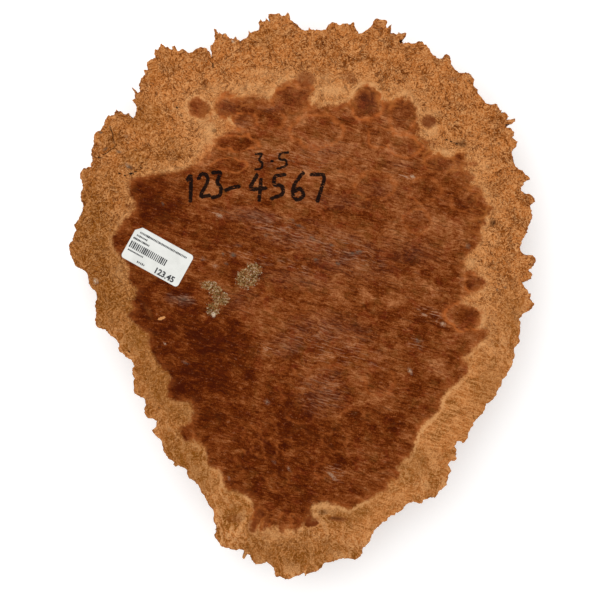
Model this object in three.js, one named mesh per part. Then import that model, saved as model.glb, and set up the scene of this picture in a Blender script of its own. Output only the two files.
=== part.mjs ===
// A burl block: one thick slice of a eucalypt burl, sawn flat on the front and the back, with its
// natural spiny edge left all the way round, and a small paper sticker on the front face.
// Millimetres, +Z up. The block lies on its back face, with the origin under its middle.
import * as THREE from "three";

// Driving sizes
const FACE_LENGTH = 502; // the front face, from its top spine to its lowest lobe
const THICKNESS = 63.5; // between the two sawn faces
const STICKER_LENGTH = 57.15;
const STICKER_WIDTH = 31.75;
const STICKER_THICKNESS = 0.15;

// The sawn front face. Its edge was read by eye on a square grid, x to the right and y down, and the
// face's length above sets what one step of that grid measures. It runs clockwise in seven stretches.
const UPPER_LEFT = [
  [132.5, 118.8], [135.5, 114], [137, 106.5], [135, 103.2], [131.8, 100.2], [135.2, 98.3], [134.5, 92.5],
  [131.8, 87.3], [136.3, 91], [138, 94.5], [140, 90], [139, 84], [140.4, 80.5], [141, 78.2], [145, 74.5],
  [143.5, 70], [148, 69.5], [147, 62], [150, 60], [155.3, 57.5], [154, 54], [155, 49], [158.5, 49.3],
  [161.3, 43.4], [165.5, 47.5], [167.3, 46.5], [171, 49.3], [173, 49.3], [171.7, 46.5], [174.6, 45.4],
  [175.7, 49], [178, 51.2], [183.3, 48.8], [187.5, 52.5], [192.5, 52.2], [194.5, 50], [200, 47],
  [206, 48], [210, 52.5], [211.8, 57],
];
const TOP = [
  [210.3, 49.5], [210.2, 46.5], [214.3, 42], [214.8, 37.5], [213.8, 28.6], [216.5, 29.5], [218.3, 34.5],
  [219, 31.3], [222.5, 34.3], [225.5, 33.2], [229.8, 38.5], [234, 38.6], [235.5, 36.4], [237, 39.3],
  [240.5, 41], [246, 38.2], [248.3, 35], [249, 30.4], [250.8, 32.8], [254.5, 30.8], [259.3, 30.2],
  [258.3, 23], [260.5, 19], [262.5, 21.6], [265.2, 21], [265.6, 17.2], [268, 20], [270.7, 23],
  [270.5, 19], [268, 17.3], [268.3, 14], [275, 14], [279.5, 13.2], [282, 16], [286, 14.5],
  [287.6, 12.2], [289.5, 15], [289.3, 18.3], [294, 22.5], [299.5, 27.3], [304.5, 30.5], [308.6, 30],
  [309.3, 27.2], [312, 29.8], [318, 29.8], [325.5, 29.6], [328, 25], [331.5, 22.2], [335, 22.8],
  [341, 25], [343.5, 23.4], [350.5, 24.2], [352.5, 22.3], [354.2, 22.2], [354.5, 26], [358.5, 33.5],
  [365, 31], [369, 28], [373, 21.8], [376, 18.5], [381, 19.5], [387.2, 20.8], [386, 26], [386.8, 28],
  [391.6, 23.8], [391.3, 28.5], [390.5, 33.4], [394.5, 33.4], [396.5, 34.4], [398.6, 31.8],
  [400, 33.2], [406.6, 33], [405.5, 37], [398.8, 41.2], [400.5, 43.5], [404, 43.2], [408, 42.2],
  [415, 43.2], [419, 41], [421.5, 41.2], [424, 44.5], [426.5, 44.6], [430, 50], [434.5, 55.5],
  [438, 58.2], [442.5, 58.2], [444, 55.2], [446.3, 53.8], [449.7, 56],
];
const UPPER_RIGHT = [
  [450.5, 60], [452.3, 65.5], [455, 69.5], [461, 72.8], [466, 72.1], [471, 74.5], [474.5, 80],
  [473.8, 86], [478, 89.8], [478, 93.5], [482.3, 98.3], [486.5, 103.5], [490, 104.4], [497.3, 104.2],
  [499.8, 110], [502, 110.3], [501, 112.4], [505, 112], [509, 116.5], [506.3, 120], [512, 119],
  [515, 118.2], [515.2, 121.5], [512, 124], [505.3, 124], [506.5, 127.3], [511, 128], [514, 131.5],
  [514.2, 135.5], [512.2, 137.3], [518, 141.6], [516.5, 146.5], [513.5, 149], [511.8, 152.5],
  [513.5, 160], [516.3, 167], [522.5, 170.2], [528.5, 176.5], [530, 179.5], [523.8, 181.5],
  [524, 184.5], [521, 188], [521.2, 191], [525, 193.5], [530, 194], [534.5, 198.5], [535.2, 202],
  [530, 206], [532, 210.5], [531.3, 213], [532.7, 215], [529.5, 224], [527, 230.3], [527.8, 232.6],
  [522.5, 240], [520.5, 246], [520.3, 250],
];
const LOWER_RIGHT = [
  [525, 255], [532.8, 255.2], [535.7, 259], [534, 265.5], [528.7, 270], [532.5, 274.5], [531, 277],
  [531.6, 278.8], [521.5, 282], [524.5, 287], [527.7, 290.5], [528.5, 293.6], [530.7, 293.2],
  [529.8, 298.5], [534.5, 304], [531.5, 309], [523.5, 313.5], [519.2, 318.7], [520.7, 322.5],
  [519.8, 326], [520.3, 330], [518.8, 337], [520, 340.5], [515, 347], [514, 350.5], [515, 354.8],
  [512.5, 363.5], [510.3, 368], [507, 373.5], [506.5, 376], [502, 380.5], [501.5, 384.5],
  [497.2, 391], [496.7, 394.3], [490, 402], [486, 403.5], [485.2, 409], [483, 413.5], [476, 419.5],
  [472.8, 426.3], [470.5, 428.5], [468, 438], [462.5, 443.3], [460, 441], [457, 441.3],
  [454.6, 446], [456.5, 451], [456, 457], [456.9, 458], [454.5, 461], [451.5, 460.7], [448, 464.5],
];
const BOTTOM_RIGHT = [
  [450.3, 468], [451.5, 471], [448.5, 474.8], [446.5, 483], [447, 485.3], [440, 490.3], [437, 495],
  [434.5, 498], [430.5, 497.2], [426.5, 499.2], [423, 500], [422, 503.5], [418, 503.3], [413, 501.6],
  [409, 503], [403.8, 506.8], [403, 509.2], [399, 512], [396, 512.5], [395, 515.4], [390.5, 515.5],
  [387.5, 518.5], [387.3, 520.6], [382, 522.5], [379, 526.5], [373.5, 532], [370.5, 540.5],
  [366, 545.5], [362.7, 548.5], [362.6, 553.5], [358, 558.3], [355, 560], [350, 558.7],
  [340, 558.8], [329.5, 562.4], [324, 563.2], [321.5, 568], [316, 572], [306.5, 574.4],
  [305, 576.3], [304, 572.8], [299, 575.6], [291.5, 578.3], [285.5, 579.6], [281, 576.8],
  [276, 576.8], [274.5, 573.5], [274.2, 568], [266.5, 561.7],
];
const BOTTOM_LEFT = [
  [262, 564], [255.5, 564.5], [251.5, 560], [250, 555], [247.5, 554], [243.6, 559.2], [242.2, 557.6],
  [244.6, 552], [243.5, 550], [239.5, 549], [236, 550.5], [229, 548], [222, 546.8], [219, 542.5],
  [215, 537.5], [214, 534.5], [217.5, 531], [215.2, 529.6], [217.2, 526], [213.5, 520],
  [213.8, 516], [212, 508.5], [206.5, 500.5], [204.5, 495.5], [201, 492], [198, 484.5],
  [189.5, 478.8], [187.8, 475.5], [186.5, 469.5], [183, 467.5], [177.5, 465.7], [175, 466.6],
  [173.2, 464.5], [174.3, 462.5], [169.5, 459.5], [166, 455.5], [163, 447], [161.8, 441.5],
  [155, 435], [151.8, 430.3], [156, 427], [157, 421], [154, 419.2], [148, 418.3], [145, 414],
  [144, 409.5], [146, 404.5], [144.5, 399],
];
const LEFT = [
  [139.5, 396.2], [134.5, 393.5], [134, 388], [133.3, 382], [134.8, 378.5], [132, 370.5],
  [132.5, 368], [134.5, 366], [131, 359.5], [126, 357.3], [122.5, 353], [119.3, 351.5], [118, 348],
  [119.2, 345], [113.5, 337.3], [110, 335], [105.5, 329.5], [99.5, 328.3], [95.8, 324.8],
  [95, 319], [96, 314], [95, 307], [97, 298.5], [95.5, 291.5], [88.5, 283.5], [88, 277.5],
  [86, 272], [78, 267.8], [75.3, 265.8], [73.3, 261], [70.3, 255], [69, 249], [69.8, 243.5],
  [71.8, 241.5], [73.5, 236], [76.4, 230], [74.2, 224.3], [79, 217.5], [82.7, 210], [83, 204.5],
  [80.3, 197], [82.3, 190], [82.8, 184], [80, 177], [80.5, 172.5], [83.5, 168], [86, 168.7],
  [88.5, 166.7], [91.3, 166.7], [90.8, 163.5], [92.5, 160], [91, 154], [91.3, 150.8], [93, 146.5],
  [94.3, 134.5], [97, 131.5], [100.5, 130.7], [103.5, 125.5], [105, 119.7], [108.5, 115],
  [110.5, 116], [114.5, 114.2], [116, 109.2], [118.5, 111.3], [120.8, 111], [122.5, 113.8],
  [126, 114.4], [129.3, 113], [131, 117],
];
const EDGE_READINGS = [
  ...UPPER_LEFT, ...TOP, ...UPPER_RIGHT, ...LOWER_RIGHT, ...BOTTOM_RIGHT, ...BOTTOM_LEFT, ...LEFT,
];

// The live edge below the front face
const LONGEST_STEP = 6; // a longer stretch of the face's edge gets a small tooth in its middle
const TOOTH = 0.8; // the most that such a tooth stands out or in
const WALL_ROWS = 11; // rows of points from the front face to the back face
const FIRST_ROW = 2.5; // depth of the second row, close under the sawn edge
const SPINES_FADE_OVER = 8; // depth in which the spines of the face's edge sink into the wall
const SPINE_WIDTH = 6; // what is narrower than about this fades with depth
const SHOULDER = 5; // how far the wall steps in just under the front face, between its pips
const LEAN_IN = 1.5; // how far it leans in from there to the back face, evenly
const ROUND_IN = 9; // and how much more as it rounds towards the back
const ROUND_POWER = 2.4;
const SWELL_HEIGHT = 2; // the wall's low swellings
const SWELL_LENGTH = 38; // from one swelling to the next
const PIP_SPACING = 11; // the small pointed pips that cover the wall
const PIP_SHAKE = 0.65; // how far each is shaken out of an even grid, as a share of the spacing
const PIP_HEIGHT = [3, 8.5]; // most are low
const PIP_RADIUS = [5.5, 8.5];
const SEED = 907;

// The sticker on the front face
const STICKER_CORNER = 3;
const STICKER_CLIP = 5; // its upper left corner is clipped straight
const STICKER_TURN = -29; // degrees
const STICKER_CENTRE = [157.4, 256.3]; // on the same grid as the face's edge

const { lerp, seededRandom } = THREE.MathUtils;

// Turns grid readings into millimetres with +Y up, centred on the face's own box.
function gridToFace(readings) {
  const box = new THREE.Box2().setFromPoints(readings.map(([x, y]) => new THREE.Vector2(x, y)));
  const size = box.getSize(new THREE.Vector2());
  const centre = box.getCenter(new THREE.Vector2());
  const step = FACE_LENGTH / size.y;
  return ([x, y]) => new THREE.Vector2((x - centre.x) * step, (centre.y - y) * step);
}

// The face's edge with a small tooth set in each long stretch.
function toothed(points) {
  const out = [];
  points.forEach((point, i) => {
    const next = points[(i + 1) % points.length];
    out.push(point);
    const along = next.clone().sub(point);
    if (along.length() < LONGEST_STEP) return;
    const across = new THREE.Vector2(-along.y, along.x).normalize();
    const height = lerp(-TOOTH, TOOTH, seededRandom());
    const place = lerp(0.35, 0.65, seededRandom());
    out.push(point.clone().addScaledVector(along, place).addScaledVector(across, height));
  });
  return out;
}

// Distance along a closed line to each of its points, and its whole length.
function distancesAlong(points) {
  const at = [0];
  points.forEach((point, i) => at.push(at[i] + point.distanceTo(points[(i + 1) % points.length])));
  return { at, total: at[points.length] };
}

// The same closed line with what is narrower than a width averaged away.
function smoothed(points, width) {
  const { at, total } = distancesAlong(points);
  return points.map((_, i) => {
    const sum = new THREE.Vector2();
    let weights = 0;
    points.forEach((other, j) => {
      const gap = Math.abs(at[i] - at[j]);
      const apart = Math.min(gap, total - gap) / width;
      if (apart > 3) return;
      const weight = Math.exp((-apart * apart) / 2) * (at[j + 1] - at[j]);
      sum.addScaledVector(other, weight);
      weights += weight;
    });
    return sum.divideScalar(weights);
  });
}

// Pips scattered on a shaken grid over the unrolled wall: place along, depth, height and radius.
function scatterPips(length) {
  const pips = [];
  const columns = Math.round(length / PIP_SPACING);
  const rows = Math.ceil(THICKNESS / PIP_SPACING) + 1;
  for (let row = 0; row < rows; row++) {
    for (let column = 0; column < columns; column++) {
      pips.push({
        along: ((column + (row % 2) / 2 + PIP_SHAKE * (seededRandom() - 0.5)) * length) / columns,
        depth: (row + PIP_SHAKE * (seededRandom() - 0.5)) * PIP_SPACING,
        height: lerp(...PIP_HEIGHT, seededRandom() ** 2),
        radius: lerp(...PIP_RADIUS, seededRandom()),
      });
    }
  }
  return pips;
}

// How far the pips raise the wall at one place on it.
function pipRise(pips, along, depth, length) {
  let rise = 0;
  for (const pip of pips) {
    const gap = Math.abs(pip.along - along) % length;
    const apart = Math.hypot(Math.min(gap, length - gap), pip.depth - depth);
    if (apart < pip.radius) rise = Math.max(rise, pip.height * (1 - apart / pip.radius));
  }
  return rise;
}

// The wall's slow swelling and hollowing: three waves that close on themselves round the block and
// drift with depth.
function swelling(along, depth, length) {
  const turns = length / SWELL_LENGTH;
  const angle = (2 * Math.PI * along) / length;
  const drift = depth / 14;
  const long = 0.5 * Math.sin(Math.round(turns) * angle + drift);
  const longer = 0.3 * Math.sin(Math.round(turns * 0.6) * angle - drift + 2);
  const short = 0.2 * Math.sin(Math.round(turns * 1.7) * angle - 2 * drift + 4);
  return SWELL_HEIGHT * (long + longer + short);
}

// The depths of the wall's rows: the face, one close under its edge, and then even steps to the back.
function rowDepths() {
  const depths = [0];
  for (let row = 1; row < WALL_ROWS; row++) {
    depths.push(lerp(FIRST_ROW, THICKNESS, (row - 1) / (WALL_ROWS - 2)));
  }
  return depths;
}

// One ring of the wall, at a depth below the front face. It never stands out past the face's own edge,
// so the face is the block's outline from above and its notches stay open all the way down.
function wallRing(edge, base, wall, depth) {
  const share = depth / THICKNESS;
  const faded = 1 - Math.exp(-depth / SPINES_FADE_OVER);
  const inward = SHOULDER * faded + LEAN_IN * share + ROUND_IN * share ** ROUND_POWER;
  return edge.map((point, i) => {
    const line = point.clone().lerp(base[i], faded);
    const along = wall.at[i];
    const rise = faded * (pipRise(wall.pips, along, depth, wall.total) + swelling(along, depth, wall.total));
    return line.setLength(Math.min(line.length() - inward + rise, point.length()));
  });
}

// The block: the front face, the rings of the wall below it and the back face, as one closed solid.
function blockGeometry(edge) {
  const base = smoothed(edge, SPINE_WIDTH);
  const wall = distancesAlong(base);
  wall.pips = scatterPips(wall.total);
  const count = edge.length;
  const depths = rowDepths();
  const rings = depths.map((depth) => wallRing(edge, base, wall, depth));
  const positions = rings.flatMap((ring, row) =>
    ring.flatMap((point) => [point.x, point.y, THICKNESS - depths[row]]),
  );
  const index = [];
  for (let row = 0; row + 1 < rings.length; row++) {
    for (let i = 0; i < count; i++) {
      const here = row * count + i;
      const next = row * count + ((i + 1) % count);
      index.push(here, here + count, next, next, here + count, next + count);
    }
  }
  const last = (rings.length - 1) * count;
  THREE.ShapeUtils.triangulateShape(rings[0], []).forEach(([a, b, c]) => index.push(a, b, c));
  THREE.ShapeUtils.triangulateShape(rings[rings.length - 1], []).forEach(([a, b, c]) =>
    index.push(last + c, last + b, last + a),
  );
  const geometry = new THREE.BufferGeometry();
  geometry.setAttribute("position", new THREE.Float32BufferAttribute(positions, 3));
  geometry.setIndex(index);
  return geometry;
}

// The sticker: a rounded rectangle with its upper left corner clipped.
function stickerGeometry() {
  const right = STICKER_LENGTH / 2;
  const top = STICKER_WIDTH / 2;
  const r = STICKER_CORNER;
  const shape = new THREE.Shape()
    .moveTo(-right, -top + r)
    .absarc(-right + r, -top + r, r, Math.PI, 1.5 * Math.PI)
    .absarc(right - r, -top + r, r, 1.5 * Math.PI, 2 * Math.PI)
    .absarc(right - r, top - r, r, 0, 0.5 * Math.PI)
    .lineTo(-right + STICKER_CLIP, top)
    .lineTo(-right, top - STICKER_CLIP);
  return new THREE.ExtrudeGeometry(shape, { depth: STICKER_THICKNESS, bevelEnabled: false, curveSegments: 6 });
}

seededRandom(SEED);
const toFace = gridToFace(EDGE_READINGS);
const edge = toothed(EDGE_READINGS.map(toFace).reverse());

const wood = new THREE.MeshStandardMaterial({ color: 0x9c5a2a, roughness: 0.62, metalness: 0 });
const paper = new THREE.MeshStandardMaterial({ color: 0xe6e6e2, roughness: 0.55, metalness: 0 });

const block = new THREE.Mesh(blockGeometry(edge), wood);
block.name = "burl_block";

const sticker = new THREE.Mesh(stickerGeometry(), paper);
sticker.name = "paper_sticker";
const centre = toFace(STICKER_CENTRE);
sticker.position.set(centre.x, centre.y, THICKNESS);
sticker.rotation.z = THREE.MathUtils.degToRad(STICKER_TURN);

const part = new THREE.Group();
part.add(block, sticker);

export default part;
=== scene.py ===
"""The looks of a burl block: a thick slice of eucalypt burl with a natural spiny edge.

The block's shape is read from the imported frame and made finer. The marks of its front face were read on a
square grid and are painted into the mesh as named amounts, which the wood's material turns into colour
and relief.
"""

import logging
import math
from collections.abc import Callable, Sequence
from dataclasses import dataclass
from enum import Enum

import bpy
import numpy as np
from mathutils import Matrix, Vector
from mathutils.geometry import delaunay_2d_cdt
from mathutils.kdtree import KDTree


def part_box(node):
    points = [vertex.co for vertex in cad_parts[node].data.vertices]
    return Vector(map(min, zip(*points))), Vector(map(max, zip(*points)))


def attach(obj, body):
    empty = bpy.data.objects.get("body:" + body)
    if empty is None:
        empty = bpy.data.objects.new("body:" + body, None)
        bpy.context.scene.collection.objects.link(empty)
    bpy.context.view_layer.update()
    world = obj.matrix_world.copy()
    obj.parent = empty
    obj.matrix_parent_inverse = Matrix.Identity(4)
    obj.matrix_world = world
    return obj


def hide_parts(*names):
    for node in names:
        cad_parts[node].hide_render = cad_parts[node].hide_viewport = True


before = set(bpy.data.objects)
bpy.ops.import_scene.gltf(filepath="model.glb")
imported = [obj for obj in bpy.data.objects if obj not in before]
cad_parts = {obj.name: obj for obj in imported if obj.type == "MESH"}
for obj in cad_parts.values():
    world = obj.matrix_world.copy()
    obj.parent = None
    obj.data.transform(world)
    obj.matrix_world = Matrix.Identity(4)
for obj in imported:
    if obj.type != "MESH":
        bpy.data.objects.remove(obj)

LOG = logging.getLogger("burl_block")
BLOCK = "burl_block"
STICKER = "paper_sticker"
SEED = 907
MM = 0.001
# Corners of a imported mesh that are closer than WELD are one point, and LEVEL tells its levels apart.
WELD = 0.01 * MM
LEVEL = 0.5 * MM
# The kind of fill that keeps to the inside of an outline, and how close two of its points may come.
FILL_INSIDE = 1
CLOSEST = 1e-9

Point = tuple[float, float]
Line = tuple[Point, ...]
Colour = tuple[float, float, float, float]
WHITE: Colour = (1.0, 1.0, 1.0, 1.0)


def srgb(red: int, green: int, blue: int) -> Colour:
    """Turns a colour as a screen gives it into the linear one that shaders use.

    Args:
        red: its red, from 0 to 255.
        green: its green, from 0 to 255.
        blue: its blue, from 0 to 255.

    Returns:
        The linear colour, fully opaque.
    """
    def linear(value: int) -> float:
        """Turns one channel linear."""
        share = value / 255
        return share / 12.92 if share <= 0.04045 else ((share + 0.055) / 1.055) ** 2.4
    return linear(red), linear(green), linear(blue), 1.0


def smooth_step(value: np.ndarray, low: float, high: float) -> np.ndarray:
    """Rises smoothly from 0 at low to 1 at high, or falls where low is the larger."""
    share = np.clip((value - low) / (high - low), 0, 1)
    return share * share * (3 - 2 * share)


def wave_field(places: np.ndarray, length: float, seed: int, count: int = 22) -> np.ndarray:
    """Sums seeded waves in all directions into a soft random field of about -1 to 1.

    Args:
        places: points, one a row, in metres.
        length: the usual wavelength in metres.
        seed: picks the waves.
        count: how many waves are summed.

    Returns:
        One value for each point.
    """
    dice = np.random.default_rng(seed)
    ways = dice.normal(size=(count, places.shape[1]))
    ways /= np.linalg.norm(ways, axis=1, keepdims=True)
    ways *= 2 * math.pi / (length * dice.uniform(0.6, 1.7, (count, 1)))
    phases = dice.uniform(0, 2 * math.pi, count)
    return np.sin(places @ ways.T + phases).sum(1) / math.sqrt(count)


def line_distance(places: np.ndarray, line: Sequence[Point], closed: bool = False) -> np.ndarray:
    """Measures how far each place is from a line.

    Args:
        places: points, one a row.
        line: the line's points, in the same units.
        closed: joins the last point to the first.

    Returns:
        One distance for each place.
    """
    stops = np.array(line + line[:1] if closed else line, float)
    nearest = np.full(len(places), np.inf)
    for start, end in zip(stops[:-1], stops[1:]):
        step = end - start
        share = np.clip((places - start) @ step / max(step @ step, 1e-12), 0, 1)
        apart = places - start - share[:, None] * step
        nearest = np.minimum(nearest, np.hypot(apart[:, 0], apart[:, 1]))
    return nearest


def inside(places: np.ndarray, outline: np.ndarray) -> np.ndarray:
    """Says which places lie inside a closed outline.

    Args:
        places: points, one a row.
        outline: the outline's points in order, one a row, in the same units.

    Returns:
        True for each place inside.
    """
    within = np.zeros(len(places), bool)
    for start, end in zip(outline, np.roll(outline, -1, 0)):
        spans = (start[1] > places[:, 1]) != (end[1] > places[:, 1])
        rise = end[1] - start[1] or 1e-12
        crossing = (end[0] - start[0]) * (places[:, 1] - start[1]) / rise + start[0]
        within ^= spans & (places[:, 0] < crossing)
    return within


@dataclass(frozen=True)
class Blot:
    """A soft oval on the face, in grid steps, with the amount at its middle."""

    x: float
    y: float
    wide: float
    high: float
    turn: float = 0.0
    amount: float = 1.0

    def reach(self, places: np.ndarray) -> np.ndarray:
        """Measures how far out in the oval each place lies.

        Args:
            places: grid readings, one a row.

        Returns:
            0 at the oval's middle, 1 on its rim and more outside it.
        """
        angle = math.radians(self.turn)
        across = places - (self.x, self.y)
        along = across @ (math.cos(angle), math.sin(angle)) / self.wide
        up = across @ (-math.sin(angle), math.cos(angle)) / self.high
        return np.hypot(along, up)

    def amounts(self, places: np.ndarray, edge: float) -> np.ndarray:
        """Gives the oval's amount at each place, falling from edge, a share of its radius, to the rim."""
        return self.amount * smooth_step(self.reach(places), 1, edge)

    def depth(self, places: np.ndarray) -> np.ndarray:
        """Gives how far inside the oval each place lies, about in grid steps."""
        return (1 - self.reach(places)) * min(self.wide, self.high)

    def halo(self, places: np.ndarray) -> np.ndarray:
        """Gives a soft ring just outside the oval."""
        return self.amount * np.exp(-(((self.reach(places) - 1.14) / 0.13) ** 2))


def blots(*rows: tuple[float, ...]) -> tuple[Blot, ...]:
    """Makes a blot of each row: x, y, wide, high, turn and amount."""
    return tuple(Blot(*row) for row in rows)


@dataclass(frozen=True)
class FaceGrid:
    """The square grid on which the face was read, x to the right and y down."""

    height: float = 567.4
    middle: Point = (302.35, 295.9)

    @property
    def step(self) -> float:
        """One grid step in metres."""
        low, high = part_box(BLOCK)
        return (high.y - low.y) / self.height

    def read(self, places: np.ndarray) -> np.ndarray:
        """Turns metres into grid readings."""
        return places[:, :2] * (1, -1) / self.step + self.middle

    def place(self, reading: Point) -> Vector:
        """Turns one grid reading into metres."""
        across, up = reading[0] - self.middle[0], self.middle[1] - reading[1]
        return Vector((across * self.step, up * self.step))


HEART_EDGE: Line = (
    (140, 176), (163, 173), (186, 169), (198, 163), (208, 155), (213, 145), (220, 137), (228, 132),
    (236, 126), (231, 120), (222, 119), (218, 115), (217, 103), (221, 96), (229, 95), (238, 98),
    (250, 100), (260, 102), (268, 101), (273, 95), (279, 87), (286, 83), (294, 77), (303, 80),
    (314, 90), (310, 99), (314, 107), (326, 107), (335, 106), (348, 101), (353, 95), (358, 88),
    (366, 84), (374, 90), (381, 100), (390, 101), (396, 98), (406, 100), (409, 107), (416, 108),
    (417, 115), (419, 126), (418, 135), (424, 141), (432, 146), (432, 155), (442, 158), (453, 153),
    (468, 154), (466, 161), (477, 163), (464, 168), (471, 175), (476, 179), (470, 183), (478, 187),
    (484, 194), (488, 202), (492, 209), (485, 215), (486, 224), (479, 227), (477, 231), (480, 235),
    (481, 240), (476, 248), (468, 254), (464, 261), (465, 270), (472, 271), (482, 275), (484, 285),
    (475, 293), (465, 297), (460, 303), (470, 306), (478, 314), (481, 324), (476, 328), (485, 329),
    (489, 331), (485, 338), (476, 346), (469, 353), (462, 358), (468, 365), (468, 372), (462, 378),
    (456, 384), (449, 388), (446, 393), (441, 400), (440, 409), (434, 415), (426, 422), (421, 427),
    (417, 436), (414, 443), (412, 451), (409, 457), (404, 458), (401, 464), (397, 467), (399, 473),
    (398, 479), (391, 480), (388, 484), (388, 490), (380, 492), (372, 497), (358, 504), (350, 509),
    (338, 505), (323, 502), (315, 504), (311, 508), (311, 515), (302, 526), (297, 529), (284, 528),
    (274, 525), (271, 530), (261, 526), (259, 521), (255, 522), (251, 519), (254, 508), (253, 500),
    (249, 497), (236, 491), (227, 490), (224, 484), (223, 477), (221, 471), (216, 468), (209, 466),
    (207, 459), (206, 452), (204, 447), (199, 442), (193, 440), (184, 440), (181, 435), (183, 430),
    (186, 425), (191, 421), (193, 415), (191, 402), (178, 401), (173, 400), (167, 397), (167, 391),
    (170, 377), (168, 372), (161, 368), (157, 363), (154, 356), (151, 349), (148, 341), (148, 334),
    (143, 331), (136, 325), (130, 319), (127, 314), (134, 309), (131, 301), (136, 295), (137, 288),
    (131, 285), (128, 280), (129, 269), (126, 261), (120, 257), (113, 245), (113, 238), (117, 231),
    (121, 224), (125, 219), (136, 209), (134, 202), (130, 195), (128, 188), (131, 179),
)

GLOW = blots(
    (345, 150, 110, 50, 0, 0.55), (435, 215, 60, 60, 0, 0.3), (455, 325, 40, 60, 0, 0.35),
    (238, 128, 30, 9, 8, 0.9), (207, 161, 15, 18, 20, 0.85), (300, 118, 50, 14, 0, 0.45),
    (272, 150, 36, 12, 0, 0.35), (358, 130, 40, 16, 0, 0.35), (400, 141, 15, 20, 0, 0.6),
    (463, 285, 5, 28, 0, 1.0), (460, 262, 6, 9, 0, 0.5), (203, 316, 7, 6, 0, 0.9),
    (290, 200, 70, 14, 8, 0.25), (440, 322, 24, 5, 12, 0.5), (472, 301, 9, 5, 0, 0.7),
    (288, 455, 11, 8, 0, 0.8), (362, 453, 20, 8, 10, 0.45), (350, 500, 34, 5, -14, 0.6),
    (182, 181, 34, 6, -5, 0.6), (330, 475, 26, 6, 10, 0.25), (455, 222, 14, 20, 0, 0.3),
    (225, 188, 30, 10, 10, 0.4), (322, 170, 60, 10, 4, 0.3), (238, 402, 12, 7, 0, 0.5),
    (414, 150, 10, 4, -30, 0.6), (462, 365, 5, 12, 10, 0.5), (405, 340, 26, 8, 12, 0.2),
    (207, 149, 25, 7, -47, 1.0), (437, 262, 22, 20, 0, 0.6), (252, 118, 22, 5, 5, 0.4),
    (330, 111, 22, 7, 0, 0.6), (384, 120, 8, 14, 0, 0.6), (337, 414, 28, 18, 0, 0.6),
    (436, 362, 24, 28, 15, 0.7),
)
SHADE = blots(
    (155, 200, 55, 48, 0, 0.65), (195, 365, 95, 115, -20, 0.85), (290, 435, 110, 70, 0, 0.6),
    (300, 500, 110, 40, 0, 0.45), (235, 245, 90, 50, 0, 0.4), (92, 235, 40, 100, 0, 1.0),
    (188, 462, 34, 60, -30, 0.75), (290, 552, 90, 26, 0, 0.7), (165, 150, 36, 26, 0, 0.5),
    (170, 60, 60, 20, -30, 0.3), (152, 188, 22, 14, 0, 0.45), (132, 238, 14, 22, 0, 0.5),
    (152, 304, 26, 22, 10, 0.65), (186, 393, 30, 13, 0, 1.1), (204, 378, 30, 22, 0, 0.5),
    (232, 407, 44, 18, 5, 0.4), (300, 402, 50, 20, 0, 0.3), (262, 428, 32, 26, 0, 0.5),
    (222, 452, 26, 22, 0, 0.6), (248, 485, 22, 16, 0, 0.5), (330, 440, 50, 26, 0, 0.4),
    (385, 430, 36, 32, 0, 0.45), (402, 372, 46, 24, 10, 0.35), (345, 482, 40, 14, 0, 0.35),
    (275, 511, 26, 14, 0, 0.4), (367, 96, 14, 11, 30, 0.6), (227, 144, 14, 8, 0, 0.4),
    (251, 142, 12, 7, 0, 0.4), (346, 168, 10, 6, 0, 0.5), (196, 332, 44, 30, 0, 0.4),
    (170, 262, 50, 50, 0, 0.35), (225, 170, 22, 6, 10, 0.35), (398, 106, 12, 8, 0, 0.3),
    (452, 200, 26, 30, 0, 0.3), (465, 316, 18, 12, 0, 0.5), (405, 262, 50, 26, 8, 0.25),
    (432, 325, 36, 3, 15, 0.7), (370, 263, 46, 3, 20, 0.4), (230, 360, 24, 30, 0, 0.35),
    (187, 430, 7, 9, 0, 0.2), (245, 432, 8, 7, 0, 0.5), (262, 448, 8, 8, 0, 0.6),
    (318, 471, 6, 7, 0, 0.7), (250, 345, 26, 18, 0, 0.3), (350, 305, 60, 14, 10, 0.2),
    (280, 480, 20, 12, 0, 0.4), (138, 300, 34, 42, 0, 0.95), (172, 287, 46, 20, 0, 0.9),
    (110, 285, 32, 70, 0, 1.1), (136, 337, 22, 34, -25, 0.95), (116, 238, 18, 26, 0, 0.9),
    (134, 160, 26, 20, 0, 0.8), (142, 116, 36, 30, 0, 0.65), (108, 185, 26, 36, 0, 0.7),
    (158, 385, 22, 54, -34, 0.9), (178, 412, 30, 18, 10, 0.85), (212, 437, 22, 20, 0, 0.75),
    (237, 411, 28, 18, 0, 0.85), (237, 487, 18, 16, 0, 0.7), (350, 512, 38, 17, -12, 0.8),
    (237, 512, 22, 20, 0, 0.6), (262, 537, 28, 16, 0, 0.6), (337, 462, 24, 15, 0, 0.7),
    (414, 462, 26, 26, 0, 0.6), (487, 387, 20, 34, 30, 0.5), (187, 188, 22, 14, 0, 0.7),
    (212, 212, 22, 14, 0, 0.5), (262, 37, 34, 18, 0, 0.45), (112, 140, 24, 24, 0, 0.7),
    (512, 312, 18, 34, 0, 0.5),
)
HAZE = blots(
    (252, 216, 46, 12, 8, 0.65), (300, 240, 70, 16, 10, 0.45), (241, 124, 22, 5, 5, 0.5),
    (330, 200, 60, 12, 8, 0.35), (286, 346, 22, 16, 0, 0.55), (330, 330, 60, 24, 5, 0.4),
    (322, 392, 32, 34, 0, 0.35), (345, 262, 70, 24, 12, 0.35), (402, 165, 28, 6, 0, 0.5),
    (178, 300, 22, 6, 8, 0.7), (410, 250, 46, 20, 12, 0.3), (300, 280, 60, 14, 6, 0.4),
    (270, 108, 20, 6, 0, 0.5), (325, 150, 40, 12, 0, 0.4), (385, 190, 40, 14, 5, 0.3),
    (345, 236, 60, 8, 22, 0.5), (420, 215, 26, 10, 0, 0.3), (240, 300, 30, 20, 0, 0.25),
)
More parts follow.
